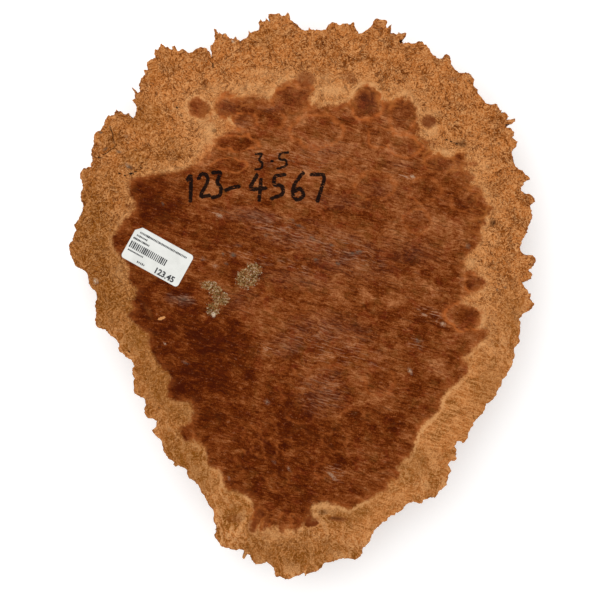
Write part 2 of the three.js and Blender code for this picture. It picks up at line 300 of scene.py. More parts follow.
CREAM = blots(
    (207, 124, 11, 26, -14, 0.9), (247, 88, 26, 11, -5, 0.7), (172, 170, 34, 5, -8, 0.7),
    (333, 90, 22, 12, 0, 0.95), (432, 130, 13, 10, 0, 0.95), (444, 152, 15, 6, 10, 0.9),
    (377, 96, 4, 10, 0, 0.8), (470, 263, 9, 8, 0, 0.95), (482, 320, 7, 16, 0, 0.6),
    (120, 272, 12, 16, 0, 0.4), (190, 412, 11, 10, 0, 0.35), (310, 84, 8, 6, 0, 0.6),
    (262, 74, 26, 8, 0, 0.4), (480, 238, 6, 10, 0, 0.5), (148, 310, 14, 4, 60, 0.4),
    (275, 536, 34, 7, 0, 0.25), (252, 517, 1.8, 9, 20, 0.9), (262.5, 524, 1.8, 9, 20, 0.9),
    (275, 530, 1.8, 8, 12, 0.9), (289, 532, 1.6, 7, 5, 0.8), (302, 529, 1.8, 8, 25, 0.8),
    (323, 506, 14, 3.5, 0, 0.7), (345, 511, 14, 3, 5, 0.6), (307, 517, 4, 8, 40, 0.6),
    (452, 170, 10, 5, 0, 0.5), (484, 165, 10, 8, 0, 0.35), (205, 145, 9, 20, 35, 0.6),
    (330, 78, 26, 8, 0, 0.5), (284, 80, 16, 7, -20, 0.6), (432, 113, 16, 7, 0, 0.6),
    (215, 88, 20, 8, -10, 0.35), (405, 92, 22, 7, 25, 0.4),
)
KNOTS = blots(
    (200, 109.5, 13, 9.5, 45, 0.9), (227, 107, 10, 11.5, 20, 0.8), (243.5, 121.5, 11, 7.5, 0, 0.9),
    (293, 98, 20, 12, -5, 0.6), (244, 104, 27, 9, -3, 0.3), (367, 102, 14, 16, -10, 0.9),
    (404, 114, 12.5, 17, 10, 0.7), (405, 146, 14, 9.5, 0, 0.8), (381, 137, 12, 9, 0, 0.6),
    (317, 131, 22, 15, 0, 0.6), (345.6, 167, 8, 6.5, 0, 0.6), (234, 143, 21, 7, 3, 0.7),
    (229, 165, 15, 6, 0, 0.6), (270, 118, 13, 9, 0, 0.5), (475.5, 283, 9.5, 9.5, 0, 0.8),
    (464, 316, 17, 12, 10, 0.8), (417, 221, 11, 11, 0, 0.4), (440, 163, 14, 9, 0, 0.5),
    (375, 186, 17, 12, 0, 0.5), (464, 200, 12, 10, 0, 0.4), (425, 190, 15, 11, 0, 0.4),
    (251, 433, 7, 6, 0, 0.45), (268, 431, 7, 7.5, 0, 0.4), (246, 445, 5, 7, 0, 0.4),
    (258, 448, 5.5, 7.5, 0, 0.5), (271, 450, 6, 8, 0, 0.5), (285, 446, 6, 7, 0, 0.3),
    (319.5, 471, 5, 6, 0, 0.5), (335, 441, 11, 9, 0, 0.25), (300, 414, 13, 9, 0, 0.25),
    (290, 384, 9, 12, 0, 0.25), (322, 377, 12, 11, 0, 0.2), (379, 381, 14, 12, 0, 0.3),
    (232, 470, 9, 9, 0, 0.25), (277, 482, 10, 8, 0, 0.3), (300, 440, 9, 8, 0, 0.2),
    (257, 520, 5, 12, 25, 0.6), (267, 523, 4.5, 11, 15, 0.5), (283, 524, 5, 9, 0, 0.4),
    (295, 523, 5, 8, -10, 0.4), (311, 522, 7, 4, 10, 0.2), (187, 432, 7, 8, 0, 0.25),
    (352, 420, 12, 10, 0, 0.2), (345, 352, 16, 13, 0, 0.2), (286, 300, 20, 14, 0, 0.2),
)
EYES = blots(
    (130, 207, 5, 3.5, 0, 0.4), (349, 78, 9, 6, 20, 0.4), (252, 526, 5, 7, 0, 0.4),
    (428.5, 121.5, 9, 7.5, 0, 0.95), (306, 79, 11, 9, 0, 0.7), (386, 110, 5, 7, 0, 0.4),
    (432, 143, 9, 3.5, 5, 0.4), (311, 521.5, 8, 5, 10, 0.6), (338, 519, 12, 3, 4, 0.7),
    (234, 519, 9, 5, 0, 0.4),
)
SCRATCHES = blots(
    (430, 315, 22, 9, 18, 1.3), (299, 268, 32, 9, 22, 0.8), (405, 176, 13, 4, 5, 1.2),
    (216, 213, 12, 6, 30, 1.1), (181, 299, 22, 9, 8, 0.9), (285, 232, 60, 18, 20, 0.7),
    (345, 252, 60, 20, 20, 0.7), (372, 364, 22, 8, 22, 0.5), (330, 345, 70, 32, 10, 0.5),
    (322, 392, 34, 32, 0, 0.5), (290, 160, 60, 18, 5, 0.4), (250, 255, 40, 12, 15, 0.5),
    (415, 345, 12, 14, 0, 0.6), (268, 350, 22, 10, 10, 0.6), (335, 474, 16, 12, 30, 0.7),
)
CURLY = blots(
    (290, 548, 90, 34, 0, 0.5), (150, 400, 60, 120, -20, 0.35), (470, 300, 60, 90, 0, 0.9),
)
SWEPT = blots(
    (455, 410, 60, 110, 35, 1.0), (380, 510, 80, 34, -25, 0.8), (500, 300, 30, 60, 0, 0.5),
    (220, 490, 40, 40, 0, 0.3), (160, 380, 40, 70, 0, 0.3), (460, 150, 44, 26, 0, 0.5),
)
RIMMED = blots(
    (440, 425, 60, 90, 35, 1.0), (340, 506, 60, 14, -5, 1.0), (478, 350, 20, 20, 0, 0.9),
    (222, 480, 24, 34, 0, 0.6), (246, 500, 16, 14, 0, 0.7), (270, 529, 30, 9, 0, 0.6),
    (187, 403, 24, 8, 0, 0.35), (480, 210, 30, 60, 0, 0.5), (120, 240, 22, 60, 0, 0.5),
    (310, 95, 110, 30, 0, 0.5),
)
PITS = blots(
    (462, 144, 8, 4.5, 5, 0.75), (323, 512, 7.5, 4, 5, 0.5), (336, 518.5, 9, 1.6, 6, 0.5),
    (493, 223, 4, 5, 20, 0.9), (213.8, 130.8, 3, 3, 0, 0.6), (177, 108, 2, 2, 0, 0.8),
    (180, 115, 2.5, 1.5, 30, 0.9), (499, 143, 1.6, 1.2, 0, 0.8), (159, 407, 1.4, 1.4, 0, 0.7),
    (181, 116, 3, 1, 35, 0.9), (424, 79, 5, 3, -20, 0.4), (480, 222, 4, 2.5, 30, 0.5),
)
GREY_BLUE = blots(
    (100.5, 132.5, 3, 2, 0, 1), (119, 152, 6, 2.5, 15, 0.7), (105, 149, 5, 2, -30, 0.7),
    (129, 167, 4, 3, 0, 0.9), (127, 136, 5, 3, 10, 0.5), (233, 255, 3.5, 3, 0, 1),
    (223, 254, 2.5, 2, 0, 1), (226, 264, 2.5, 2, 0, 0.8), (238, 245, 5, 2, 10, 0.5),
    (338, 263, 3, 2, 0, 1), (331, 245, 4, 1.8, 10, 0.9), (359, 252, 5, 2.5, -10, 1),
    (292, 220, 4, 2, 15, 0.8), (312, 238, 5, 1.8, 20, 0.9), (266, 235, 3, 2, 0, 0.7),
    (316, 260, 4, 2.5, 0, 0.8), (353, 254, 4, 2, 0, 0.8), (468, 246, 3, 4, 0, 0.7),
    (497, 289, 2, 1.6, 0, 1), (505, 288, 2, 1.6, 0, 0.9), (452, 79, 5, 3, 0, 0.5),
    (163, 204, 2, 2, 0, 0.8), (300, 226, 8, 1.6, 20, 0.7), (184, 299, 16, 2, 6, 0.45),
)
# Pale dots, drops and holes on the face, and painted highlights among them: the white glint on the scab at
# 213, 314 and the small glint at 229, 478.
CHALK_AND_GLINTS = blots(
    (219, 215.5, 5, 2.2, 20, 0.9), (213.4, 314.5, 2.6, 3.6, 0, 1.9), (164.7, 343.5, 1.8, 1.8, 0, 1.2),
    (229, 478.5, 1.6, 1.4, 40, 0.7), (185, 362.5, 5, 1.4, 8, 0.4), (412.5, 176.5, 3.4, 2.2, 25, 1.0),
    (443, 324, 3.4, 2.6, 0, 0.9), (127, 165, 2, 2, 0, 1.2), (267, 402, 3, 3, 10, 0.5),
    (289, 469, 1.6, 4, -30, 0.5), (274, 462, 1.6, 3, -20, 0.25), (410, 371, 2.4, 5, -30, 0.7),
    (417, 341, 2.6, 2.4, 0, 0.5), (95.7, 281.3, 3.2, 3.2, 0, 1.5), (233.3, 41.5, 2, 2, 0, 1.6),
    (215, 266, 3, 2.4, 0, 0.5), (203, 259, 3, 2.2, 0, 0.4), (332, 476, 8, 2, 45, 0.6),
)
SCABS = blots(
    (247, 278, 15, 13, -20, 1), (254, 269, 11, 8, 20, 0.9), (209.5, 285.5, 12, 6.5, 8, 0.9),
    (216, 291, 9, 8, 0, 0.9), (221, 299, 11, 9, 10, 1), (213, 309, 9, 9.5, 20, 1),
)
SLIVERS = blots(
    (161.6, 318.3, 5.2, 1.7, -20, 1.5),
)
FINE_PARTS = blots(
    (215, 187, 42, 26), (258, 170, 44, 40), (303, 187, 42, 26), (161, 318, 9, 6), (214, 302, 20, 24),
    (249, 276, 20, 18), (112, 140, 16, 22), (412, 176, 7, 6), (280, 525, 40, 18), (325, 512, 26, 12),
)
CRACKS: tuple[Line, ...] = (
    ((116.5, 144.6), (113.8, 147.7), (110, 150.4), (107, 152.7), (103, 154.6)),
    ((109.6, 126.5), (111.4, 130.8), (112.7, 133.8), (113, 138.5), (114.2, 142.3)),
    ((97.5, 157.6), (100.5, 157.3)), ((118, 173), (124, 175), (131, 173.5), (139, 170)),
    ((141, 167), (136, 171), (128, 177), (122, 174)), ((211.5, 57), (213, 66), (214.5, 74)),
    ((176, 106), (178, 109)), ((443, 138), (450, 141), (458, 144)), ((126, 353), (130, 351)),
)
VEINS: tuple[Line, ...] = (
    ((392, 127), (398, 134), (404, 141), (408, 149), (406, 156)), ((398, 134), (390, 144), (384, 151)),
    ((341, 132), (340, 148), (343, 160)), ((463, 262), (465, 278), (462, 296), (459, 305)),
    ((381, 100), (381, 112)), ((330, 430), (333, 441), (338, 452)), ((246, 428), (252, 436), (250, 447)),
    ((262, 424), (272, 434), (270, 446)), ((250, 447), (260, 455), (270, 446)), ((289, 372), (293, 392)),
    ((310, 408), (304, 422)), ((395, 200), (398, 214), (392, 228)), ((466, 300), (474, 304), (481, 313)),
    ((252, 507), (258, 518), (256, 530)), ((268, 516), (266, 528)), ((240, 497), (250, 503)),
)
CELLED = blots(
    (310, 120, 150, 45, 0, 1.0), (395, 145, 60, 50, 0, 1.0), (285, 440, 100, 60, 0, 1.0),
    (300, 500, 110, 40, 0, 0.7), (440, 250, 60, 90, 0, 0.6), (360, 220, 90, 50, 0, 0.5),
    (400, 380, 80, 70, 0, 0.5), (300, 300, 200, 200, 0, 0.35),
)
KNOTTY = blots(
    (225, 105, 50, 34, 0, 1.0), (300, 90, 60, 40, 0, 0.8), (380, 105, 60, 45, 0, 1.0),
    (440, 155, 50, 50, 0, 0.9), (475, 210, 36, 50, 0, 0.8), (476, 290, 24, 50, 0, 0.5),
    (255, 520, 40, 26, 0, 0.5),
)
RINGS = blots(
    (182, 158, 13, 10, 0, 0.9), (182, 158, 5, 4, 0, 0.9), (160, 147, 16, 12, 20, 0.5),
    (95, 177, 12, 9, 0, 0.5), (234, 64, 10, 12, 0, 0.4), (322, 56, 14, 12, 20, 0.5),
    (448, 96, 8, 8, 0, 0.5), (456, 190, 5, 6, 0, 0.6), (187, 413, 9, 9, 0, 0.5),
    (235, 526, 15, 12, 0, 0.5), (378, 66, 10, 8, 0, 0.4), (120, 202, 8, 6, 0, 0.4),
)

MARKER_STROKES: dict[str, tuple[Line, ...]] = {
    "1": (((0.15, 0.22), (0.6, 0.0), (0.5, 1.0)),),
    "2": (((0.05, 0.22), (0.3, 0.02), (0.75, 0.08), (0.85, 0.34), (0.1, 0.98), (0.95, 0.9)),),
    "3": (((0.1, 0.06), (0.85, 0.02), (0.4, 0.42), (0.85, 0.6), (0.75, 0.92), (0.05, 0.98)),),
    "4": (((0.5, 0.0), (0.02, 0.6), (0.98, 0.52)), ((0.72, 0.18), (0.62, 1.0))),
    "5": (((0.9, 0.03), (0.25, 0.06), (0.15, 0.45), (0.75, 0.45), (0.85, 0.8), (0.05, 0.98)),),
    "6": (((0.8, 0.0), (0.2, 0.4), (0.08, 0.8), (0.45, 1.0), (0.9, 0.78), (0.6, 0.52), (0.12, 0.7)),),
    "7": (((0.02, 0.06), (0.95, 0.04), (0.4, 1.0)),),
    "-": (((0.0, 0.9), (0.5, 0.55), (1.0, 0.45)),),
    ".": (((0.4, 0.5), (0.6, 0.5)),),
}


def rounded_line(line: Line, rounds: int = 2, cut: float = 0.2) -> Line:
    """Cuts a line's corners again and again, which rounds it, and keeps its ends.

    Args:
        line: the line's points.
        rounds: how many times the corners are cut.
        cut: the share of a side that each cut takes.

    Returns:
        The rounded line.
    """
    keep = 1 - cut
    for _ in range(rounds):
        points = [line[0]]
        for (x, y), (u, v) in zip(line[:-1], line[1:]):
            points += [(keep * x + cut * u, keep * y + cut * v), (cut * x + keep * u, cut * y + keep * v)]
        line = tuple(points + [line[-1]])
    return line


@dataclass(frozen=True)
class MarkerSign:
    """One sign drawn with a marker: its place and size on the grid, and half its line's width."""

    sign: str
    x: float
    y: float
    wide: float
    high: float
    half_line: float = 1.95

    def distances(self, places: np.ndarray) -> np.ndarray:
        """Measures from each place to the ink's edge.

        Args:
            places: grid readings, one a row.

        Returns:
            The distances in grid steps, below zero inside the ink.
        """
        lines = [rounded_line(line) for line in MARKER_STROKES[self.sign]]
        drawn = [tuple((self.x + u * self.wide, self.y + v * self.high) for u, v in line) for line in lines]
        return np.min([line_distance(places, line) for line in drawn], 0) - self.half_line


MARKER_SIGNS = (
    MarkerSign("3", 255, 153, 9, 17, 1.25), MarkerSign(".", 270, 159, 4, 4, 1.5),
    MarkerSign("5", 277, 152, 12, 17, 1.25),
    MarkerSign("1", 186, 174, 9, 27), MarkerSign("2", 198, 173, 12, 25), MarkerSign("3", 212, 171, 11, 27),
    MarkerSign("-", 226, 183, 13, 8), MarkerSign("4", 248, 175, 18, 25), MarkerSign("5", 271, 174, 15, 25),
    MarkerSign("6", 291, 173, 15, 28), MarkerSign("7", 311, 173, 16, 28),
)


def most(marks: Sequence[Blot], places: np.ndarray, edge: float = 0.0) -> np.ndarray:
    """Gives the strongest of the blots' amounts at each place."""
    return np.max([blot.amounts(places, edge) for blot in marks], 0)


# Each amount that is painted as blots alone, with the share of a blot's radius that is at its full.
PAINTED: dict[str, tuple[tuple[Blot, ...], float]] = {
    "glow": (GLOW, 0.0), "shade": (SHADE, 0.25), "haze": (HAZE, 0.0), "cream": (CREAM, 0.0),
    "eye": (EYES, 0.72), "pit_shade": (PITS, 0.3), "grey_blue": (GREY_BLUE, 0.2), "chalk_and_glint": (CHALK_AND_GLINTS, 0.3),
    "scratch": (SCRATCHES, 0.2), "scab": (SCABS, 0.4), "sliver": (SLIVERS, 0.5), "swept": (SWEPT, 0.3),
    "rimmed": (RIMMED, 0.3), "celled": (CELLED, 0.0), "knotty": (KNOTTY, 0.0),
}
FRONT_ONLY = ("chalk_and_glint", "crack_shade", "scab", "sliver", "grey_blue", "pit_shade", "eye", "swirl", "vein", "scratch")


def line_amounts(lines: Sequence[Line], places: np.ndarray, half: float) -> np.ndarray:
    """Gives 1 on the lines and 0 from a half width away."""
    return np.max([smooth_step(line_distance(places, line), half, 0) for line in lines], 0)


@dataclass(frozen=True)
class Figure:
    """The wood's figure on the front face, as amounts painted at the mesh's points."""

    grid: FaceGrid
    crack_half: float = 1.1
    vein_half: float = 1.8
    bend: float = 1.5
    bend_length: float = 15.0
    knot_edge: float = 0.65
    least_curl: float = 0.12
    curly_from: float = 380.0
    curly_to: float = 250.0

    def heart_depth(self, places: np.ndarray) -> np.ndarray:
        """Measures how far inside the heartwood each grid reading lies, in grid steps."""
        depth = line_distance(places, HEART_EDGE, closed=True)
        return np.where(inside(places, np.array(HEART_EDGE, float)), depth, -depth)

    def ring_amounts(self, places: np.ndarray) -> np.ndarray:
        """Paints the thin dark rings of the sapwood's swirls.

        Args:
            places: grid readings, one a row.

        Returns:
            The amount at each place.
        """
        found = np.zeros(len(places))
        for ring in RINGS:
            out = 1 - Blot(ring.x, ring.y, ring.wide * 2, ring.high * 2, ring.turn).amounts(places, 0)
            found = np.maximum(found, ring.amount * np.exp(-(((out - 0.5) / 0.09) ** 2)))
        return found

    def amounts(self, places: np.ndarray) -> dict[str, np.ndarray]:
        """Paints every mark of the front face.

        Args:
            places: grid readings, one a row.

        Returns:
            The name of each painted amount with its value at each place.
        """
        upper = smooth_step(places[:, 1], self.curly_from, self.curly_to)
        waves = np.column_stack([wave_field(places, self.bend_length, seed) for seed in (5, 6)])
        bent = places + self.bend * waves
        knot_depth = np.max([knot.depth(bent) for knot in KNOTS], 0)
        halos = np.max([knot.halo(bent) for knot in KNOTS], 0)
        curled = (1 - self.least_curl) * np.maximum(upper, most(CURLY, places))
        return {
            "heart": np.maximum(self.heart_depth(places), knot_depth),
            "knot": most(KNOTS, bent, self.knot_edge),
            "halo": halos * smooth_step(knot_depth, 0.5, -0.5),
            "crack_shade": line_amounts(CRACKS, places, self.crack_half),
            "vein": line_amounts(VEINS, places, self.vein_half),
            "swirl": self.ring_amounts(places),
            "curly": self.least_curl + curled,
            "ink": np.min([sign.distances(places) for sign in MARKER_SIGNS], 0),
        } | {name: most(marks, places, edge) for name, (marks, edge) in PAINTED.items()}


def combining(operation: str, turned: bool = False) -> Callable[["Wire", "Wire | float"], "Wire"]:
    """Makes an operator of wires from a Math node.

    Args:
        operation: what the node does.
        turned: puts the operator's other value first.

    Returns:
        The operator's method.
    """
    def combine(self: "Wire", other: "Wire | float") -> "Wire":
        """Combines a wire with another value."""
        return self.math(operation, *((other, self) if turned else (self, other)))
    return combine


class Wire:
    """A node's output, which Python's operators combine through Math nodes: | takes the larger value
    and & the smaller."""

    def __init__(self, bench: "Bench", socket: bpy.types.NodeSocket) -> None:
        """Keeps the bench that adds nodes and the socket."""
        self.bench = bench
        self.socket = socket

    def math(self, operation: str, *values: "Wire | float", clamp: bool = False) -> "Wire":
        """Adds a Math node.

        Args:
            operation: what the node does.
            values: its inputs in order.
            clamp: holds the result between 0 and 1.

        Returns:
            Its result.
        """
        settings = {"operation": operation, "use_clamp": clamp}
        return self.bench.node("ShaderNodeMath", settings, dict(enumerate(values)))

    def __abs__(self) -> "Wire":
        """Drops the sign."""
        return self.math("ABSOLUTE", self)

    __add__ = __radd__ = combining("ADD")
    __mul__ = __rmul__ = combining("MULTIPLY")
    __sub__ = combining("SUBTRACT")
    __rsub__ = combining("SUBTRACT", turned=True)
    __or__ = combining("MAXIMUM")
    __and__ = combining("MINIMUM")

    def clamped(self) -> "Wire":
        """Holds it between 0 and 1."""
        return self.math("ADD", self, 0.0, clamp=True)

    def rise(self, low: float, high: float) -> "Wire":
        """Rises smoothly from 0 to 1, or falls where low is the larger.

        Args:
            low: the value at which it is 0.
            high: the value at which it is 1.

        Returns:
            The smooth step.
        """
        if low > high:
            return 1 - self.rise(high, low)
        values = {"Value": self, "From Min": low, "From Max": high}
        return self.bench.node("ShaderNodeMapRange", {"interpolation_type": "SMOOTHSTEP"}, values, "Result")


class Bench:
    """Adds nodes to one tree."""

    def __init__(self, tree: bpy.types.NodeTree) -> None:
        """Keeps the tree."""
        self.tree = tree

    def node(self, kind: str, settings: dict, sockets: dict, output: int | str = 0) -> Wire:
        """Adds one node.

        Args:
            kind: the node's type name.
            settings: its own settings, set before its sockets.
            sockets: a value or a wire for each input, by name or number.
            output: the output that is handed back.

        Returns:
            The chosen output.
        """
        made = self.tree.nodes.new(kind)
        for name, value in settings.items():
            if name == "stops":
                self.set_stops(made.color_ramp, value)
            else:
                setattr(made, name, value)
        self.feed(made, sockets)
        return Wire(self, made.outputs[output])

    def set_stops(self, ramp: bpy.types.ColorRamp, stops: Sequence[tuple[float, Colour]]) -> None:
        """Puts a ramp's stops in place.

        Args:
            ramp: the ramp.
            stops: each stop's position and colour, in order.
        """
        while len(ramp.elements) < len(stops):
            ramp.elements.new(1.0)
        for element, (position, colour) in zip(ramp.elements, stops):
            element.position = position
            element.color = colour

    def amount(self, name: str) -> Wire:
        """Reads a painted amount."""
        return self.node("ShaderNodeAttribute", {"attribute_name": name}, {}, "Fac")

    def mix(self, share: Wire | float, first: Wire | Colour, second: Wire | Colour) -> Wire:
        """Mixes two colours, with none of the second at a share of 0."""
        settings = {"data_type": "RGBA", "clamp_factor": True}
        return self.node("ShaderNodeMix", settings, {0: share, 6: first, 7: second}, 2)

    def layered(self, base: Wire, *layers: tuple[Wire | float, Wire | Colour]) -> Wire:
        """Lays colours over a base, one over the other.

        Args:
            base: the lowest colour.
            layers: how much covers what is below, from 0 to 1, and its colour, from below.

        Returns:
            The colour that is seen.
        """
        for share, colour in layers:
            base = self.mix(share, base, colour)
        return base

    def shifted(self, place: Wire, by: Wire, reach: float) -> Wire:
        """Moves a place by a colour's values.

        Args:
            place: the place.
            by: the colour, whose middle grey moves nothing.
            reach: twice the furthest move, in metres.

        Returns:
            The moved place.
        """
        offset = self.node("ShaderNodeVectorMath", {"operation": "SUBTRACT"}, {0: by, 1: (0.5, 0.5, 0.5)})
        return self.node("ShaderNodeVectorMath", {"operation": "MULTIPLY_ADD"},
                         {0: offset, 1: (reach, reach, reach), 2: place})

    def noise(self, place: Wire, size: float, detail: float = 2.0, rough: float = 0.5,
              twist: float = 0.0, output: str = "Fac") -> Wire:
        """Adds a noise texture.

        Args:
            place: where it is read.
            size: about the size of its lumps in metres.
            detail: how many finer layers it has.
            rough: how strong those are.
            twist: how much it is distorted.
            output: Fac or Color.

        Returns:
            The chosen output.
        """
        sockets = {"Vector": place, "Scale": 1 / size, "Detail": detail, "Roughness": rough,
                   "Distortion": twist}
        return self.node("ShaderNodeTexNoise", {}, sockets, output)

    def turned(self, place: Wire, degrees: float, stretch: Point) -> Wire:
        """Turns a place about Z and then stretches it.

        Args:
            place: the place.
            degrees: how far it is turned.
            stretch: how much a pattern is drawn out along the new X and Y.

        Returns:
            The turned and stretched place.
        """
        first = {"Vector": place, "Rotation": (0, 0, math.radians(degrees))}
        flat = self.node("ShaderNodeMapping", {"vector_type": "POINT"}, first, "Vector")
        second = {"Vector": flat, "Scale": (1 / stretch[0], 1 / stretch[1], 1)}
        return self.node("ShaderNodeMapping", {"vector_type": "POINT"}, second, "Vector")

    def object_place(self) -> Wire:
        """Reads the place on the object."""
        return self.node("ShaderNodeTexCoord", {}, {}, "Object")

    def voronoi(self, place: Wire, size: float, feature: str, output: str) -> Wire:
        """Adds a Voronoi texture.

        Args:
            place: where it is read.
            size: about the size of its cells in metres.
            feature: what is measured.
            output: the output that is handed back.

        Returns:
            The chosen output.
        """
        sockets = {"Vector": place, "Scale": 1 / size}
        return self.node("ShaderNodeTexVoronoi", {"feature": feature}, sockets, output)

    def bump(self, height: Wire, strength: float, distance: float) -> Wire:
        """Turns a relief into a normal, with its strength from 0 to 1 and its depth in metres."""
        sockets = {"Strength": strength, "Distance": distance, "Height": height}
        return self.node("ShaderNodeBump", {}, sockets, "Normal")

    def feed(self, node: bpy.types.Node, sockets: dict) -> None:
        """Fills a node's inputs.

        Args:
            node: the node.
            sockets: a value or a wire for each input, by name or number.
        """
        for name, value in sockets.items():
            if isinstance(value, Wire):
                self.tree.links.new(value.socket, node.inputs[name])
            else:
                node.inputs[name].default_value = value


def new_material(name: str) -> tuple[bpy.types.Material, Bench, bpy.types.Node]:
    """Starts a material.

    Args:
        name: the material's name.

    Returns:
        The material, a bench on its tree and its main shader.
    """
    material = bpy.data.materials.new(name)
    material.use_nodes = True
    tree = material.node_tree
    return material, Bench(tree), tree.nodes["Principled BSDF"]


@dataclass(frozen=True)
class WoodSizes:
    """How large the lumps of each of the wood's textures are and how far its warps reach, in metres."""

    warp: float = 20 * MM
    warp_reach: float = 16 * MM
    sap_saw_reach: float = 5 * MM
    heart_saw_reach: float = 6 * MM
    curl: float = 3.6 * MM
    weave: float = 5.5 * MM
    break_up: float = 7 * MM
    clump: float = 12 * MM
    sap_grit: float = 1.3 * MM
    fibre: float = 1.7 * MM
    patch: float = 16 * MM
    finger: float = 4.4 * MM
    cloud: float = 24 * MM
    mottle: float = 7 * MM
    fine: float = 1.8 * MM
    heart_grit: float = 1.1 * MM
    streak: float = 1.3 * MM
    cell: float = 18 * MM
    tint: float = 10 * MM
    groove: float = 1.5 * MM
    knot_warp: float = 14 * MM
    knot_warp_reach: float = 9 * MM
    knot: float = 13 * MM
    ragged: float = 8 * MM
    ragged_fine: float = 2 * MM
    speck: float = 1.6 * MM
    crumb: float = 0.9 * MM
    ink_gap: float = 1.1 * MM
    bark_fibre: float = 2.4 * MM
    bark_patch: float = 24 * MM
    worked: float = 5 * MM
    warm: float = 9 * MM
    halo: float = 6 * MM
    eye: float = 4 * MM


